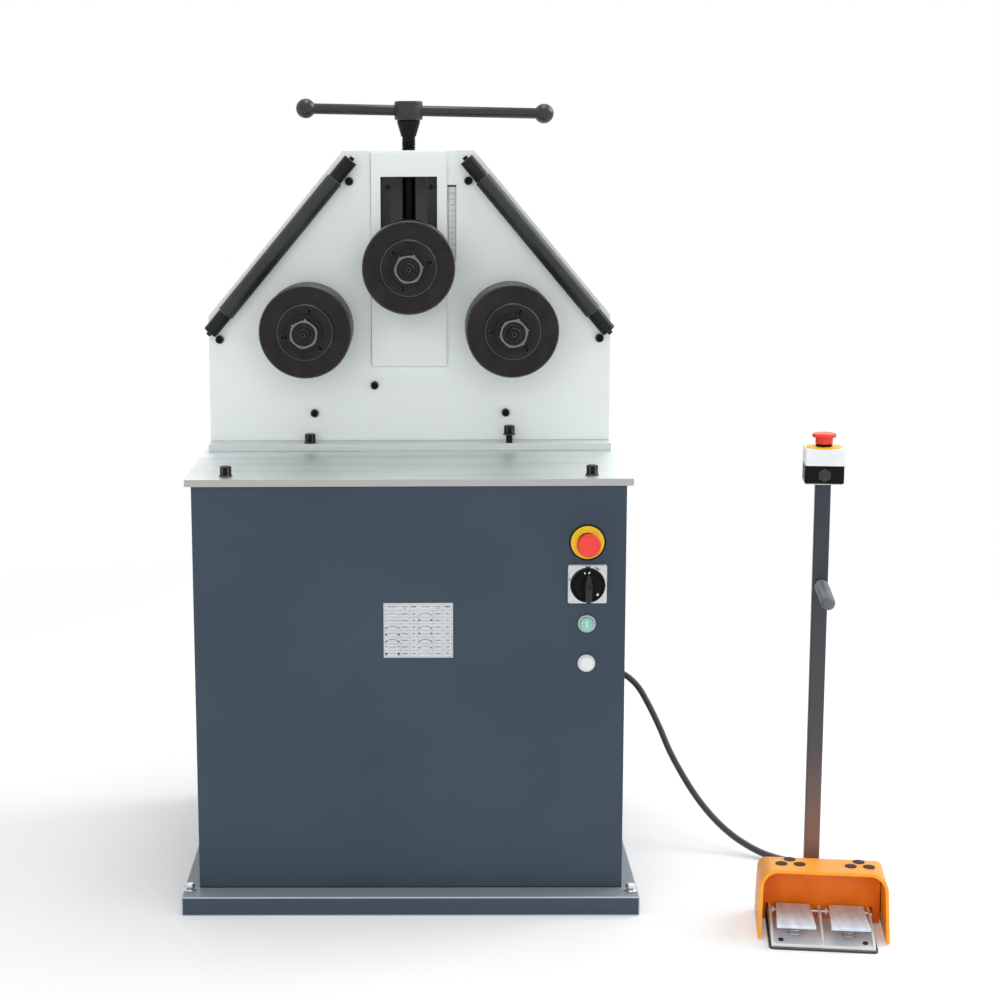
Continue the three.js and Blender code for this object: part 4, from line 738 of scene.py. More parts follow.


# Washer and chamfered hexagon nut, its two bevelled bands paler, as wear and as a painted highlight; the shaft's tip
# is the CAD shaft's own
def clampNut(form, place, s):
    wear_and_highlight = form.faces.layers.float.new("wear_and_highlight")
    bore, high, top, across = s["nutBore"], s["washerHigh"], s["nutHigh"], s["nutAcross"]
    washer = easedOutline(band(bore, s["washerRadius"], s["bossHigh"] + 0.3, high), 1.0)
    revolve(form, [*washer, washer[0]], place, 72)
    corner = across / math.sqrt(3)
    rings = []
    for widest, height in ((corner, high), (corner, top - s["cornerCut"]),
                           (corner * s["rimShare"], top - s["rimCut"]), (across * s["faceShare"], top), (bore, top),
                           (bore, high)):
        reach = [min(math.hypot(*hexagonEdge(across, angle)), widest) for angle in angles(72)]
        rings.append([form.verts.new(place @ polar(radius, angle, height))
                      for radius, angle in zip(reach, angles(72))])
    for i, (lower, upper) in enumerate(zip(rings, [*rings[1:], rings[0]])):
        for face in bridge(form, lower, upper):
            face[wear_and_highlight] = 1.0 if i in s["wearAndHighlightBands"] else 0.0


for side in rollSettings["rolls"]:
    addRoll(side, rollSettings)
print("rolls ready")


# Lifting screw with its thread, cone, hub and sliding bar
screwSettings = {
    "y": 0.088, "threadLow": 1133.0, "threadHigh": 1286.0, "pitch": 5.0, "crest": 12.0, "depth": 1.6,
    "coneLow": 1292.0, "coneHigh": 1320.7, "coneRadii": (13.75, 20.5), "collarLow": 1114.8, "collarHigh": 1128.2,
    "collarRadius": 17.0, "hubLow": 1321.0, "hubHigh": 1354.0, "hubRadius": 25.0, "lipRadius": 12.2, "lipOut": 24.2,
    "barZ": 1.3375, "barRadius": 9.5, "barFrom": -183.0, "barTo": 241.0, "ballRadius": 17.5, "barTiltDeg": 1.5,
}


# The bar lies a little askew in its cross hole, right end low.
def alongBar(s):
    return Matrix.Translation((0, s["y"], s["barZ"])) @ spun(90 + s["barTiltDeg"], "Y")


# Rows of points climb together as one helix. The thread's form is given as (share of a pitch, share of its depth).
def threadedBar(form, s, sides=24):
    axis = Vector((0, s["y"], 0))
    profile = [(0.0, 0.0), (0.30, 0.0), (0.42, 1.0), (0.58, 1.0), (0.70, 0.0)]
    made = []
    for turn in range(int((s["threadHigh"] - s["threadLow"]) / s["pitch"])):
        for share, deep in profile:
            radius = s["crest"] - s["depth"] * deep
            heights = [s["threadLow"] + (turn + share + k / sides) * s["pitch"] for k in range(sides)]
            made.append([form.verts.new(axis + polar(radius, angle, height))
                         for angle, height in zip(angles(sides), heights)])
    step = len(profile)
    for i in range(len(made) - 1):
        for k in range(sides - 1):
            form.faces.new((made[i][k], made[i][k + 1], made[i + 1][k + 1], made[i + 1][k]))
        if i + step + 1 < len(made):
            form.faces.new((made[i][sides - 1], made[i + step][0], made[i + step + 1][0], made[i + 1][sides - 1]))


def addLeadscrew(s):
    place = Matrix.Translation((0, s["y"], 0))
    inside = s["crest"] - 0.4
    low, high = s["coneRadii"]
    upper = [(0, s["threadHigh"] - 9), (inside, s["threadHigh"] - 9), (inside, s["coneLow"]), (low, s["coneLow"]),
             (low, s["coneLow"] + 2), (high, s["coneHigh"] - 4), (high, s["coneHigh"]), (0, s["coneHigh"])]
    wide = s["collarRadius"]
    collar = [(0, s["collarLow"]), (wide, s["collarLow"]), (wide, s["collarHigh"]), (inside, s["collarHigh"]),
              (inside, s["threadLow"] + 6), (0, s["threadLow"] + 6)]

    def build(form):
        threadedBar(form, s)
        for outline in (upper, collar):
            revolve(form, easedOutline(outline, 0.8, 2), place, 48)
    addObject("threaded_lifting_screw", build, "threadBlack", "screw", ("leadscrew",), 50)


def addHandle(s):
    def hub(form):
        outline = [(0, s["hubLow"]), (s["hubRadius"], s["hubLow"]), (s["hubRadius"], s["hubHigh"]), (0, s["hubHigh"])]
        revolve(form, easedOutline(outline, 2.0, 4), Matrix.Translation((0, s["y"], 0)), 96)
        lip = band(s["barRadius"] + 0.25, s["lipRadius"], -s["lipOut"], s["lipOut"])
        revolve(form, [*lip, lip[0]], alongBar(s), 40)
    addObject("turned_hub", hub, "sleeve", "screw", ("handle_hub",), 35)
    ball = s["ballRadius"]
    bar = [(0, s["barFrom"] - ball)]
    meets = math.degrees(math.acos(s["barRadius"] / ball))
    for centre, start, end in ((s["barFrom"], -80, meets), (s["barTo"], -meets, 80)):
        for step in range(15):
            angle = math.radians(start + (end - start) * step / 14)
            bar.append((ball * math.cos(angle), centre + ball * math.sin(angle)))
    bar.append((0, s["barTo"] + ball))
    addTurned("sliding_bar", [(bar, alongBar(s))], "glossBlack", "handle", ("handle_bar",), 60, 48, 0)


addLeadscrew(screwSettings)
addHandle(screwSettings)
print("screw and handle ready")


# Support rollers on the head's slopes
sleeveSettings = {
    "centre": (0.22808, 0.020, 1.10055), "direction": (0.6429, 0, 0.7660), "half": 153.0, "radius": 15.0,
    "bore": 8.5, "endRadius": 13.0, "endGap": 0.3, "endLength": 44.0, "rod": 8.0, "post": 8.0, "faceY": 0.0497,
    "screwSize": 9.0,
}


def addSideRoller(word, side, s):
    x, y, z = s["centre"]
    # The slopes rise towards the middle, so each sleeve's axis leans inwards.
    along = Vector((-side * s["direction"][0], 0, s["direction"][2]))
    out = Vector((0, -1, 0))
    place = Matrix((out.cross(along), out, along)).transposed().to_4x4()
    place = Matrix.Translation((side * x, y, z)) @ place
    sleeve = band(s["bore"], s["radius"], -s["half"], s["half"])
    addTurned(f"{word}_sleeve", [(sleeve, place)], "sleeve", f"side_roller_{word}", (f"side_roller_{word}",),
              40, 64, 1.0, 3)
    end = s["half"] + s["endGap"]
    tip = end + s["endLength"]

    def rod(form):
        wide, narrow = s["endRadius"], s["rod"]
        outline = [(0, -tip), (wide, -tip), (wide, -end), (narrow, -end), (narrow, end), (wide, end), (wide, tip),
                   (0, tip)]
        revolve(form, easedOutline(outline, 1.0, 2), place, 48)
        length = (s["faceY"] - y) / mm
        for way in (-1, 1):
            foot = place @ shifted(0, 0, way * (tip - wide)) @ spun(90, "X")
            revolve(form, [(0, 0), (s["post"], 0), (s["post"], length), (0, length)], foot, 32)
    addObject(f"{word}_roller_rod", rod, "rod", "frame", (f"side_rod_{word}",), 40)
    screws = [(place @ shifted(0, 0, -tip) @ spun(180, "X"), s["screwSize"]),
              (place @ shifted(0, 0, tip), s["screwSize"])]
    scattered(f"{word}_rod_end_screws", socketScrew, screws, "blackSteel", "frame")


for word, side in (("left", -1), ("right", 1)):
    addSideRoller(word, side, sleeveSettings)
print("support rollers ready")


# Switches on the cabinet's front; outlines of (radius, height) and bands of (inner, outer, low, high) in mm
switchSettings = {
    "x": 0.294, "faceY": -0.300, "heights": {"emergency": 0.629, "isolator": 0.560, "start": 0.4925, "lamp": 0.425},
    "mushroom": [(0, -20), (8, -20), (8, 9.3), (14, 9.3), (14, 23), (17.6, 24), (19.5, 26), (19.5, 28.6),
                 (18.4, 30.8), (16.8, 32), (15.2, 32), (13.6, 30.9), (7, 31.2), (0, 31.3)],
    "legend": [(8.3, -2.5), (11, -2.5), (11, 0.3), (30, 0.3), (30, 2), (15, 2), (15, 5), (8.3, 5)],
    "rims": [(27.6, 30.15, 1.0, 2.25), (14.6, 16.4, 2.0, 5.2)],
    "knob": [(0, -20), (8, -20), (8, 9.3), (28.5, 9.3), (28.5, 20.3), (27.3, 21.3), (25, 21.3), (23, 19.7),
             (8, 18.7), (0, 18.7)],
    "gripLow": 17.3, "gripHigh": 38.0, "pinPlace": (1.0, 1.5), "pin": [(0, -2), (2, -2), (2, 0.15), (0, 0.15)],
    "grip": [(-5, -22), (-3.6, -26.5), (3.6, -26.5), (5, -22), (6, -4), (4.6, 10), (3, 18), (-3, 18), (-4.6, 10),
             (-6, -4)],
    "plateHalf": 32.0, "plateCorner": 44.6, "plateLow": 0.3, "plateHigh": 9.0, "plateHole": 8.3,
    "ring": (28.9, 31.4, 8.8, 11.6),
    "bezel": [(8.3, 0.3), (15, 0.3), (15, 4.7), (14.1, 5.6), (11.3, 5.6), (11.3, 1.2), (8.3, 1.2)],
    "cap": [(0, -20), (8, -20), (8, 5), (11, 5), (11, 7.9), (10.2, 8.5), (0, 8.5)],
    "lens": [(0, -20), (11, -20), (11, 0.3), (14.5, 0.3), (14.5, 4.2), (13.6, 5.2), (12.6, 5.4), (11.6, 8.6),
             (9, 9.6), (5, 9.9), (0, 10)],
    # marks: across, up, turn in degrees, width, height, in mm
    "startMark": [(0, 0, 0, 2.4, 11.0)],
    "plateMarks": [(0.3, 30.0, 0, 8.0, 1.7), (15.6, 27.0, -30, 7.5, 1.5), (-29.6, 9.0, 0, 1.3, 3.6)],
    "knobMarks": [(-5.6, 21.7, 14, 2.2, 4.2), (1.8, 21.7, -26, 2.2, 4.2), (15.8, -15.0, -46, 3.0, 4.2)],
}


# Square plate with near-sharp corners and a round hole: loops round the hole, each at its own height.
def addSquarePlate(s, place, sides=96):
    def reach(angle, inset):
        if inset is None:
            return s["plateHole"]
        flat = (s["plateHalf"] - inset) / max(abs(math.cos(angle)), abs(math.sin(angle)))
        return min(flat, s["plateCorner"] - inset)

    def build(form):
        low, high = s["plateLow"], s["plateHigh"]
        loops = [[form.verts.new(place @ polar(reach(angle, inset), angle, height)) for angle in angles(sides)]
                 for inset, height in ((0, low), (0, high - 0.8), (0.8, high), (None, high), (None, low))]
        for lower, upper in zip(loops, [*loops[1:], loops[0]]):
            bridge(form, lower, upper)
    addObject("isolator_square_plate", build, "greyPlastic", "frame", ("isolator_plate",))


def addSwitches(s):
    at = {key: towardsOperator(s["x"], s["faceY"], z) for key, z in s["heights"].items()}
    stop, turn, start = at["emergency"], at["isolator"], at["start"]
    rims = [(band(*rim), stop) for rim in s["rims"]]
    pin = [(s["pin"], turn @ shifted(*s["pinPlace"], s["gripHigh"]))]
    addTurned("emergency_mushroom", [(s["mushroom"], stop)], "red", "emergency_stop", ("estop_head",), ease=0.6)
    addSquarePlate(s, turn)
    addTurned("emergency_legend", [(s["legend"], stop)], "yellow", "frame", ("estop_legend",), sides=96)
    addTurned("legend_rims", rims, "blackPlastic", "frame", (), sides=96, ease=0.3)
    addTurned("isolator_rotary_knob", [(s["knob"], turn)], "blackPlastic", "isolator", ("isolator_knob",),
              smoothDeg=35, sides=96, ease=0.5)
    addObject("isolator_grip", lambda form: prism(form, s["grip"], s["gripHigh"] - s["gripLow"],
                                                  turn @ shifted(0, 0, s["gripLow"]), 1.6, 3),
              "gripBlack", "isolator", (), 35)
    addTurned("isolator_grip_pin", pin, "blackPlastic", "isolator", (), 35, 24, 0)
    addTurned("isolator_ring", [(band(*s["ring"]), turn)], "stationGrey", "frame", (), sides=96)
    addTurned("start_ring", [(s["bezel"], start)], "satinChrome", "frame", ("start_bezel",), ease=0.3)
    addTurned("start_push_cap", [(s["cap"], start)], "green", "start_button", ("start_cap",), ease=0.3)
    addTurned("signal_lamp_lens", [(s["lens"], at["lamp"])], "whitePlastic", "frame", ("signal_lamp",))
    for name, place, key, height, deep, finish, body, slotName in (
            ("start_mark", start, "startMark", 8.5, 0.3, "whitePlastic", "start_button", "grey_plastic"),
            ("isolator_position_marks", turn, "plateMarks", 11.6, 0.4, "blackPlastic", "frame", "black_plastic"),
            ("isolator_knob_marks", turn, "knobMarks", 19.75, 0.7, "whitePlastic", "isolator", "grey_plastic")):
        marks = [(place @ shifted(x, y, height) @ spun(lean), (w, h, deep))
                 for x, y, lean, w, h in s[key]]
        scattered(name, unitBar, marks, finish, body)


addSwitches(switchSettings)
print("switches ready")


# Chart plate and lifting scale
plateSettings = {
    "chart": {"low": (-42.7, 434.5), "high": (72.5, 527.6), "faceY": -300.0, "thickness": 0.8,
              "rows": 8, "columns": (0.0, 0.231, 0.372, 0.492, 0.719, 0.864, 1.0), "border": 1.6, "barParts": 9,
              "line": 0.45, "print": 0.12, "sectionShare": 0.8, "barHigh": 0.8, "barOverlap": 1.1,
              "darkBow": 2.3, "darkBlock": 2.0, "widestBlock": 3.0,
              # how far each ring section's middle stands above its ends, and the height of its end blocks, in mm
              "sections": (((1.8, 1.6), (1.6, 1.6), (2.4, 2.2), (2.2, 3.2), (3.6, 2.6), (-1.4, 1.8), (1.0, 4.4)),
                           ((3.2, 1.6), (-1.6, 2.8), (3.2, 2.2), (-1.6, 2.8), (3.0, 2.2), (2.2, 2.4), (1.8, 1.4)))},
    "scale": {"low": (68.5, 1072.0), "high": (84.5, 1207.0), "faceY": 50.0, "thickness": 1.0, "header": 3.6,
              "numeralSize": 4.8, "numeralAside": 1.2, "longTick": 3.8, "shortTick": 2.6, "tickHigh": 0.7,
              "margin": 0.3, "print": 0.1},
}


# Printed sheet: a grid of eight rows with a bent section drawn in two of its columns, and rows of bare marks
def addChart(s):
    (x0, z0), (x1, z1) = s["low"], s["high"]
    place = towardsOperator(0, s["faceY"] * mm, 0)
    addObject("chart_plate", lambda form: cuboid(form, (x0, z0, 0), (x1, z1, s["thickness"]), place, 0.25),
              "chartSheet", "frame", ())
    left, low = x0 + s["border"], z0 + s["border"]
    width, height = x1 - x0 - 2 * s["border"], z1 - z0 - 2 * s["border"]
    pale, dark = [], []

    def mark(marks, x, z, w, h, turn=0.0):
        spot = place @ shifted(x, z, s["thickness"]) @ Matrix.Rotation(turn, 4, "Z")
        marks.append((spot, (w, h, s["print"])))

    for row in range(s["rows"] + 1):
        mark(pale, left + width / 2, low + height * row / s["rows"], width, s["line"])
    for share in s["columns"]:
        mark(pale, left + width * share, low + height / 2, s["line"], height)
    for row in range(s["rows"]):
        level = low + height * (s["rows"] - row - 0.5) / s["rows"]
        for column, (start, end) in enumerate(zip(s["columns"], s["columns"][1:])):
            middle, room = left + width * (start + end) / 2, width * (end - start)
            if row and column in (0, 3):
                addSection(s, mark, pale, dark, middle, level, room * s["sectionShare"],
                           s["sections"][column // 3][row - 1])
            elif row:
                mark(pale, middle, level, room * (0.62 if column % 3 == 1 else 0.4), 1.9)
            else:
                mark(dark if column % 3 == 2 else pale, middle, level + 1.0, room * 0.6, 1.7)
                if column % 3 == 1:
                    mark(pale, middle, level - 2.6, room * 0.3, 1.2)
    scattered("chart_grid", unitBar, pale, "printPale", "frame")
    scattered("chart_sections", unitBar, dark, "printGrey", "frame")


# One bent bar: short straight parts along a bow, and a block at each end
def addSection(s, mark, pale, dark, x, z, span, form):
    bow, block = form
    for part in range(s["barParts"]):
        share = 2 * (part + 0.5) / s["barParts"] - 1
        lift = bow * (1 - share ** 2) - bow / 2
        mark(dark if abs(bow) > s["darkBow"] else pale, x + share * span / 2, z + lift,
             span / s["barParts"] * s["barOverlap"], s["barHigh"], math.atan(-4 * bow * share / span))
    for way in (-1, 1):
        mark(dark if block > s["darkBlock"] else pale, x + way * span / 2, z - bow / 2 - 0.3,
             min(block, s["widestBlock"]), block)


def addScale(s):
    (x0, z0), (x1, z1) = s["low"], s["high"]
    place = towardsOperator(0, s["faceY"] * mm, 0)
    addObject("lifting_scale", lambda form: cuboid(form, (x0, z0, 0), (x1, z1, s["thickness"]), place, 0.2),
              "chartSheet", "frame", ())
    marks = []

    def mark(x, z, w, h):
        marks.append((place @ shifted(x, z, s["thickness"]), (w, h, s["print"])))

    mark((x0 + x1) / 2, z1 - s["header"] / 2, x1 - x0 - 0.4, s["header"])
    # A tick every 2 mm in place of every 1 mm, so that they show apart.
    for step in range(2, int(z1 - z0 - s["header"]), 2):
        length = s["longTick"] if step % 10 == 0 else s["shortTick"]
        for x in (x0 + s["margin"] + length / 2, x1 - s["margin"] - length / 2):
            mark(x, z0 + step, length, s["tickHigh"])
    scattered("scale_marks", unitBar, marks, "printGrey", "frame")

    def numerals(form):
        for number in range(1, int((z1 - z0) / 10)):
            writing = bpy.data.curves.new("numeral", "FONT")
            writing.body = str(number)
            writing.size, writing.extrude = s["numeralSize"] * mm, s["print"] * mm
            writing.align_x, writing.align_y = "CENTER", "CENTER"
            holder = bpy.data.objects.new("numeral", writing)
            digits = bpy.data.meshes.new_from_object(holder)
            digits.transform(place @ shifted((x0 + x1) / 2 + s["numeralAside"], z0 + 10 * number, s["thickness"]))
            form.from_mesh(digits)
            bpy.data.objects.remove(holder)
    addObject("scale_numerals", numerals, "printGrey", "frame", ())


addChart(plateSettings["chart"])
addScale(plateSettings["scale"])
print("plates ready")


# Visible fasteners: black socket screws in the head, hexagon bolts on the table, strip and plinth
fastenerSettings = {
    "headY": 0.050, "guideY": 0.052, "coverY": 0.283, "panelY": 0.300, "plinthTop": 33.0,
    "rearSize": 9.0, "tableSize": 17.0, "plinthSize": 15.5, "shankRadius": 5.8,
    "headScrews": [(-63, 851, 14.5), (-171.6, 801, 14.5), (173, 801, 14.5), (-105.5, 1214, 15), (105.5, 1214, 15),
                   (-340.6, 934.7, 15), (340.6, 934.7, 15)],
    "guideScrews": [(-37.5, 1204, 11.5), (39.5, 1204, 11.5)],
    # across, back, up and how far the bolt stands unscrewed
    "tableBolts": [(-302.5, -275, 737, 0), (302.5, -275, 737, 0), (-178.6, 17, 750.6, 0), (178.6, 17, 750.6, 14)],
    "plinthBolts": [(-373.6, -311), (371.7, -315.7), (-373.6, 311), (373.6, 311)],
    "coverScrews": [(-340, 780), (340, 780), (-340, 955), (340, 955), (-120, 1240), (120, 1240), (0, 780)],
    "panelScrews": [(-340, 60), (340, 60), (-340, 375), (340, 375), (-340, 700), (340, 700), (0, 60), (0, 700)],
}


def addFasteners(s):
    head = [(towardsOperator(x * mm, s["headY"], z * mm), size) for x, z, size in s["headScrews"]]
    guide = [(towardsOperator(x * mm, s["guideY"], z * mm), size) for x, z, size in s["guideScrews"]]
    table = [(shifted(x, y, z + rise), s["tableSize"]) for x, y, z, rise in s["tableBolts"]]
    plinth = [(shifted(x, y, s["plinthTop"]), s["plinthSize"]) for x, y in s["plinthBolts"]]
    rear = [(awayFromOperator(x * mm, s[depth], z * mm), s["rearSize"])
            for key, depth in (("coverScrews", "coverY"), ("panelScrews", "panelY")) for x, z in s[key]]
    for name, template, places, finish, slotName in (
            ("head_screws", socketScrew, head, "blackSteel", "black_steel"),
            ("guide_screws", buttonScrew, guide, "blackSteel", "black_steel"),
            ("table_bolts", tallBolt, table, "blackSteel", "black_steel"),
            ("plinth_bolts", hexBolt, plinth, "chrome", "bright_steel"),
            ("rear_screws", buttonScrew, rear, "blackSteel", "black_steel")):
        scattered(name, template, places, finish, "frame")
    x, y, z, rise = s["tableBolts"][3]
    r, length = s["shankRadius"], rise + 0.5
    addTurned("raised_bolt_shank", [([(0, 0), (r, 0), (r, length), (0, length)], shifted(x, y, z))], "blackSteel",
              "frame", (), 30, 32, 0)


# Painted shadow as dark strips under and beside the window cover, as (out of it, over it, depth), and where the
# cabinet stands on its plinth, as (half width, low, high, depth), in mm
shadowStripSettings = {
    "headY": 0.050, "cabinetY": -0.300, "under": (1.1, 0.4, 1.0), "beside": (0.6, 0.4, 0.7), "cornerGap": 4.0,
    "plinth": (357.0, 33.1, 35.0, 0.6),
}


def addSeams(s):
    low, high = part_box("window_cover")
    head, cabinet = (towardsOperator(0, s[key], 0) for key in ("headY", "cabinetY"))
    x0, x1, z0, z1 = low.x / mm, high.x / mm, low.z / mm, high.z / mm

    def seams(form):
        out, over, deep = s["under"]
        cuboid(form, (x0, z0 - out, 0), (x1, z0 + over, deep), head, 0)
        out, over, deep = s["beside"]
        cuboid(form, (x0 - out, z0, 0), (x0 + over, z1 - s["cornerGap"], deep), head, 0)
        half, bottom, top, deep = s["plinth"]
        cuboid(form, (-half, bottom, 0), (half, top, deep), cabinet, 0)
    addObject("seam_strips", seams, "shadowStrip", "frame", ())


addFasteners(fastenerSettings)
addSeams(shadowStripSettings)
print("fasteners ready")


# Foot switch and the stop button on its pole
footSettings = {
    "place": (0.6613, -0.5, 0), "turnDeg": -7.0, "pedalX": 43.0, "pedalWidth": 62.0, "pedalFront": 9.0,
    "pedalRear": 109.0, "pedalLow": 34.0, "pedalHigh": 38.0, "pedalTaper": 3.5, "lip": 33.0, "grooves": 13,
    "pinY": 104.0, "pinZ": 28.0, "earWidth": 4.0, "springY": 43.0, "springLow": 9.3, "springHigh": 33.7,
    "earReach": (9.0, 4.5), "eye": (3.2, 6.0), "ribShare": 0.66, "ribShort": 5.0, "ribHigh": 0.9, "ribSunk": 0.25,
    "springRadii": (11.0, 7.0), "springTurns": 4, "springSteps": 24, "springKeep": 0.69, "wire": 2.0,
    "pole": (-9.0, 192.0), "poleTop": 731.5, "seatWidth": 59.0, "plugOut": 31.4, "plugRise": 14.0,
    "panScrews": [(-66.7, 18.5), (66.7, 18.5)], "panZ": 9.0, "panScrewSize": 8.5,
    "mushroom": [(0, -20), (8, -20), (8, 9), (13.3, 9), (13.3, 5.9), (14, 5.9), (14, 15), (17.6, 16), (19.5, 18),
                 (19.5, 20.4), (18.6, 22.2), (15, 23.2), (8, 23.8), (0, 24)],
    "mushroomZ": 787.3, "disc": (8.5, 29.0, 0.1, 1.5), "collar": (9.0, 13.0, 1.5, 4.7), "bush": (3.1, 5.2, 0, 3.0),
    "dome": [(0, 0.5), (7.5, 0.5), (7.5, 1.4), (6.4, 2.5), (4.2, 3.2), (2, 3.5), (0, 3.6)],
    "holeShade": [(0, -4), (6.6, -4), (6.6, 0.1), (9.8, 0.1), (9.8, 0.7), (8.3, 1.0), (0, 1.0)],
    "holeShadeZ": 113.0, "holeShadeGroups": (-50.0, 61.0), "holeShadeSpread": 14.6, "holeShadeRows": (88.4, 110.0),
    "panelY": 124.1, "panelWall": 1.2, "panelX": 2.5, "panelLowHalf": 81.2, "panelHalf": 96.5,
    "panelZ": (9.2, 31.0, 107.5), "panelCorner": 24.0, "panelWingFrom": 86.6, "panelWingLow": 4.0,
}
footPlace = Matrix.Translation(footSettings["place"]) @ spun(footSettings["turnDeg"])


def addPedal(word, side, s):
    centre, body = side * s["pedalX"], f"{word}_pedal"
    place = footPlace @ shifted(centre, 0)
    half, taper, ear = s["pedalWidth"] / 2, s["pedalTaper"], s["earWidth"]
    front, rear, low, high = s["pedalFront"], s["pedalRear"], s["pedalLow"], s["pedalHigh"]
    alongPin = spun(90, "Y")

    # The tread narrows towards its pin.
    def pedal(form):
        profile = [(front, s["lip"]), (front + 3.4, s["lip"]), (front + 4, low), (rear, low), (rear, high),
                   (front + 1.4, high), (front, high - 1.4)]
        turned = Matrix(((0, 0, 1, -half * mm), (1, 0, 0, 0), (0, 1, 0, 0), (0, 0, 0, 1)))
        tread = bmesh.new()
        prism(tread, profile, s["pedalWidth"], turned, 0.5)
        for vertex in tread.verts:
            back = (vertex.co.y / mm - front) / (rear - front)
            vertex.co.x *= 1 - back * taper / half
        tread.transform(place)
        copyInto(form, tread)
        tread.free()
        before, behind = s["earReach"]
        for x in (-half + taper, half - ear - taper):
            cuboid(form, (x, s["pinY"] - before, s["pinZ"] - behind), (x + ear, s["pinY"] + behind, low + 0.4), place,
                   0.8)
            eye = band(*s["eye"], 0, ear)
            revolve(form, [*eye, eye[0]], place @ shifted(x, s["pinY"], s["pinZ"]) @ alongPin, 32)
    addObject(f"{word}_tread_pedal", pedal, "brushedAluminium", body, (f"pedal_{word}",))
    ribs = []
    pitch = s["pedalWidth"] / s["grooves"]
    for i in range(s["grooves"]):
        x = (-half + s["pedalWidth"] * (i + 0.5) / s["grooves"]) * (1 - taper / 2 / half)
        lean = Matrix.Rotation(x / half * taper / (rear - front), 4, "Z")
        ribs.append((place @ shifted(x, (front + rear) / 2 + 1, high - s["ribSunk"]) @ lean,
                     (pitch * s["ribShare"], rear - front - s["ribShort"], s["ribHigh"])))
    scattered(f"{word}_pedal_ribs", unitBar, ribs, "brushedAluminium", body)
    bushPlace = footPlace @ shifted(centre - half - 3.2, s["pinY"], s["pinZ"]) @ alongPin
    addTurned(f"{word}_pin_bush", [(band(*s["bush"]), bushPlace)], "whitePlastic", "frame", (),
              sides=32, ease=0.5)
    line = []
    wide, narrow = s["springRadii"]
    steps = s["springSteps"] * s["springTurns"]
    for step in range(steps + 1):
        share, angle = step / steps, 2 * math.pi * step / s["springSteps"]
        radius = wide + (narrow - wide) * share
        height = s["springLow"] + 1 + (s["springHigh"] - s["springLow"] - 2) * share
        local = Vector((centre + radius * math.cos(angle), s["springY"] + radius * math.sin(angle), height))
        line.append(footPlace @ (local * mm) / mm)
    coil = addObject(f"{word}_pedal_spring", lambda form: tubeAlong(form, line, [s["wire"] / 2] * len(line), 10),
                     "chrome", "frame", (f"pedal_spring_{word}",), 60)
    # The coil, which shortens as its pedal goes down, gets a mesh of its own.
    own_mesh(coil)


def addStation(s):
    x, y = s["pole"]
    top = footPlace @ shifted(x, y, s["mushroomZ"])
    addTurned("station_mushroom", [(s["mushroom"], top)], "red", "station_stop", ("station_stop_head",), ease=0.6)
    addTurned("station_yellow_disc", [(band(*s["disc"]), top)], "yellow", "frame", ())
    addTurned("station_black_collar", [(band(*s["collar"]), top)], "blackPlastic", "frame", (),
              sides=48)
    addObject("station_seat_plate", lambda form: prism(form, roundRectangle(s["seatWidth"], s["seatWidth"], 4), 1.7,
                                                       footPlace @ shifted(x, y, s["poleTop"] - 1.9), 0.3),
              "greyPlastic", "frame", ())

    def plug(form):
        spot = footPlace @ shifted(x, y - s["plugOut"], s["poleTop"] + s["plugRise"])
        spot = spot @ spun(90, "X")
        prism(form, hexagonPoints(19, 30), 0.9, spot, 0.2)
        revolve(form, s["dome"], spot, 36)
    addObject("station_blind_plug", plug, "glossBlack", "frame", (), 40)


# Brown-black discs over the guard's six holes, as painted shade inside them, and the screws in the pan
def addPlugs(s):
    near, far = s["holeShadeRows"]
    holeShades = [(s["holeShade"], footPlace @ shifted(x, y, s["holeShadeZ"])) for group in s["holeShadeGroups"]
             for x, y in ((group - s["holeShadeSpread"], near), (group + s["holeShadeSpread"], near), (group, far))]
    addTurned("guard_plugs", holeShades, "holeShade", "frame", (), sides=36, ease=0.3)
    screws = [(footPlace @ shifted(x, y, s["panZ"]), s["panScrewSize"]) for x, y in s["panScrews"]]
    scattered("pan_screws", buttonScrew, screws, "blackSteel", "frame")


# Moulded inner wall that closes the guard behind the pedals: it stands on the pan and meets the guard's roof.
# Its deeper, darker orange is painted shade.
def addInnerWall(s):
    low, shoulder, high = s["panelZ"]
    middle, half, r = s["panelX"], s["panelHalf"], s["panelCorner"]
    inner, outer, foot = s["panelLowHalf"], s["panelWingFrom"], s["panelWingLow"]
    outline = [(-inner, low), (inner, low), (inner, shoulder), (outer, shoulder), (outer, foot),
               (middle + half, foot)]
    for centreX, start in ((middle + half - r, 0), (middle - half + r, 90)):
        for step in range(9):
            angle = math.radians(start + 90 * step / 8)
            outline.append((centreX + r * math.cos(angle), high - r + r * math.sin(angle)))
    outline += [(middle - half, foot), (-outer, foot), (-outer, shoulder), (-inner, shoulder)]
    upright = towardsOperator(0, (s["panelY"] + s["panelWall"]) * mm, 0)
    addObject("guard_inner_wall", lambda form: prism(form, outline, s["panelWall"], footPlace @ upright, 0.3),
              "shadedOrange", "frame", (), 40)


for word, side in (("left", -1), ("right", 1)):
    addPedal(word, side, footSettings)
addStation(footSettings)
addPlugs(footSettings)
addInnerWall(footSettings)
print("foot switch ready")


# Floor, backdrop and soft studio light
stageSettings = {
    "floorSizeM": 60.0, "floorColour": "#F1F1F1", "floorLift": 0.16, "fadeFromM": 1.3, "fadeToM": 3.0,
    "worldStrength": 0.58, "aim": (0.1, 0, 0.7),
    # name, place in metres, size in metres, watts, whether gloss shows it
    "lamps": [("front softbox", (-0.3, -6.0, 1.9), (5.0, 3.0), 130, False),
              ("top", (0.2, 0.0, 4.2), (2.2, 1.5), 36, True),
              ("upper right", (3.2, 0.7, 3.0), (2.4, 2.2), 70, True),
              ("rear", (0.5, 4.4, 3.2), (3.4, 2.2), 24, True)],
}


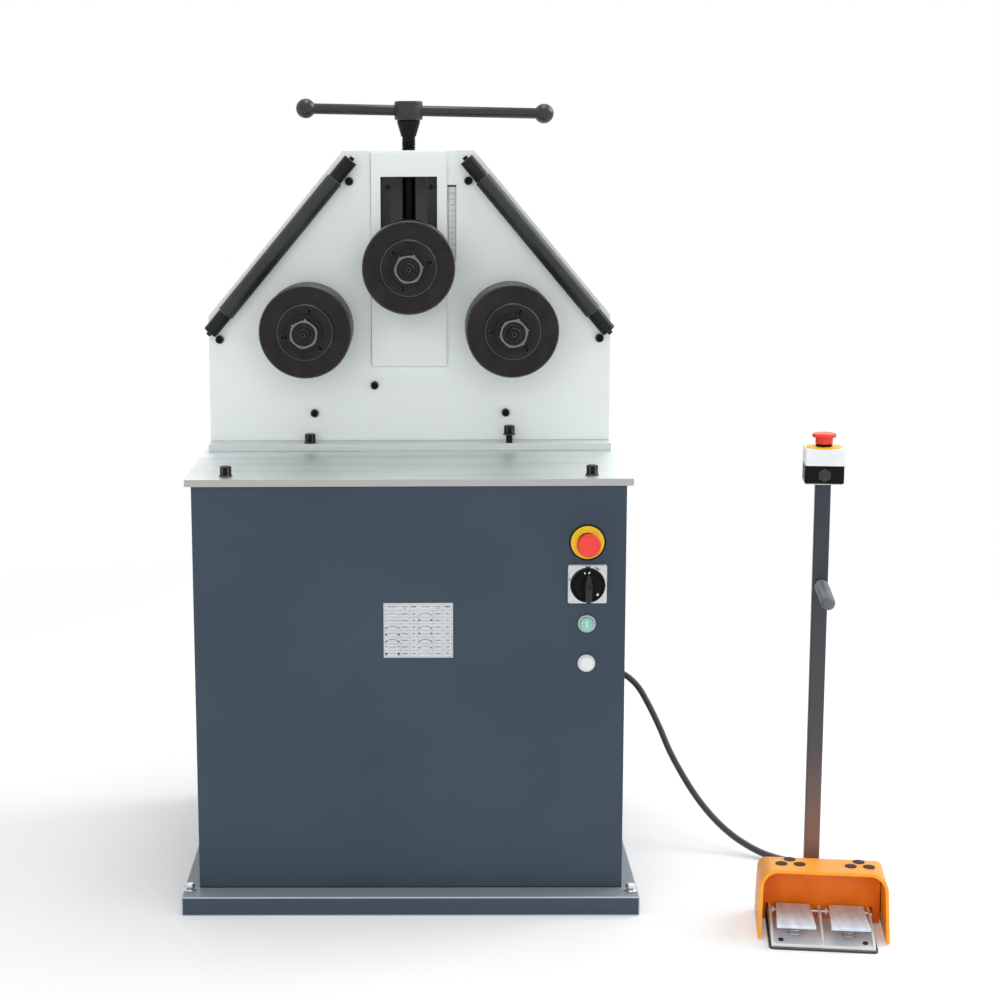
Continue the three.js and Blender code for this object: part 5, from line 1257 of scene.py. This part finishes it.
# 1 where the background is seen: straight, in gloss or through a clear piece
def seenDirectly(tree):
    path = addNode(tree, "ShaderNodeLightPath")
    either = addNode(tree, "ShaderNodeMath", {0: path.outputs["Is Camera Ray"], 1: path.outputs["Is Glossy Ray"]},
                     operation="MAXIMUM")
    return addNode(tree, "ShaderNodeMath", {0: either.outputs[0], 1: path.outputs["Is Transmission Ray"]},
                   operation="MAXIMUM")


def addWorld(s):
    world = bpy.data.worlds.new("studio")
    bpy.context.scene.world = world
    world.use_nodes = True
    tree = world.node_tree
    lit = tree.nodes["Background"]
    lit.inputs["Strength"].default_value = s["worldStrength"]
    lit.inputs["Color"].default_value = (1, 1, 1, 1)
    shown = addNode(tree, "ShaderNodeBackground", {"Color": (1, 1, 1, 1), "Strength": 1.0})
    seen = seenDirectly(tree)
    mixed = addNode(tree, "ShaderNodeMixShader", {0: seen.outputs[0], 1: lit.outputs[0], 2: shown.outputs[0]})
    tree.links.new(mixed.outputs[0], tree.nodes["World Output"].inputs["Surface"])


# Pale floor that takes the object's shadow and runs out into the white of the backdrop.
def addFloor(s):
    half = s["floorSizeM"] / 2
    mesh = bpy.data.meshes.new("floor")
    mesh.from_pydata([(-half, -half, 0), (half, -half, 0), (half, half, 0), (-half, half, 0)], [], [(0, 1, 2, 3)])
    floor = linked("floor", mesh)
    material, tree, shader = newMaterial("studio floor", s["floorColour"], 0.0, 0.9, 0.0)
    place = addNode(tree, "ShaderNodeTexCoord")
    away = addNode(tree, "ShaderNodeVectorMath", {0: place.outputs["Object"]}, operation="LENGTH")
    fade = addNode(tree, "ShaderNodeMapRange",
                   {"Value": away.outputs["Value"], "From Min": s["fadeFromM"], "From Max": s["fadeToM"]},
                   interpolation_type="SMOOTHSTEP")
    lift = addNode(tree, "ShaderNodeEmission", {"Strength": s["floorLift"]})
    lifted = addNode(tree, "ShaderNodeAddShader", {0: shader.outputs[0], 1: lift.outputs[0]})
    white = addNode(tree, "ShaderNodeEmission", {"Strength": 1.0})
    faded = addNode(tree, "ShaderNodeMixShader", {0: fade.outputs[0], 1: lifted.outputs[0], 2: white.outputs[0]})
    seen = seenDirectly(tree)
    mixed = addNode(tree, "ShaderNodeMixShader", {0: seen.outputs[0], 1: shader.outputs[0], 2: faded.outputs[0]})
    tree.links.new(mixed.outputs[0], tree.nodes["Material Output"].inputs["Surface"])
    mesh.materials.append(material)


def addLamps(s):
    for name, place, size, power, inGloss in s["lamps"]:
        data = bpy.data.lights.new(name, "AREA")
        data.shape = "RECTANGLE"
        data.size, data.size_y = size
        data.energy = power
        lamp = linked(name, data)
        lamp.visible_glossy = inGloss
        lamp.location = place
        lamp.rotation_euler = (Vector(s["aim"]) - Vector(place)).to_track_quat("-Z", "Y").to_euler()


addWorld(stageSettings)
addFloor(stageSettings)
addLamps(stageSettings)
bpy.context.scene.view_settings.view_transform = "Standard"
print("stage ready")
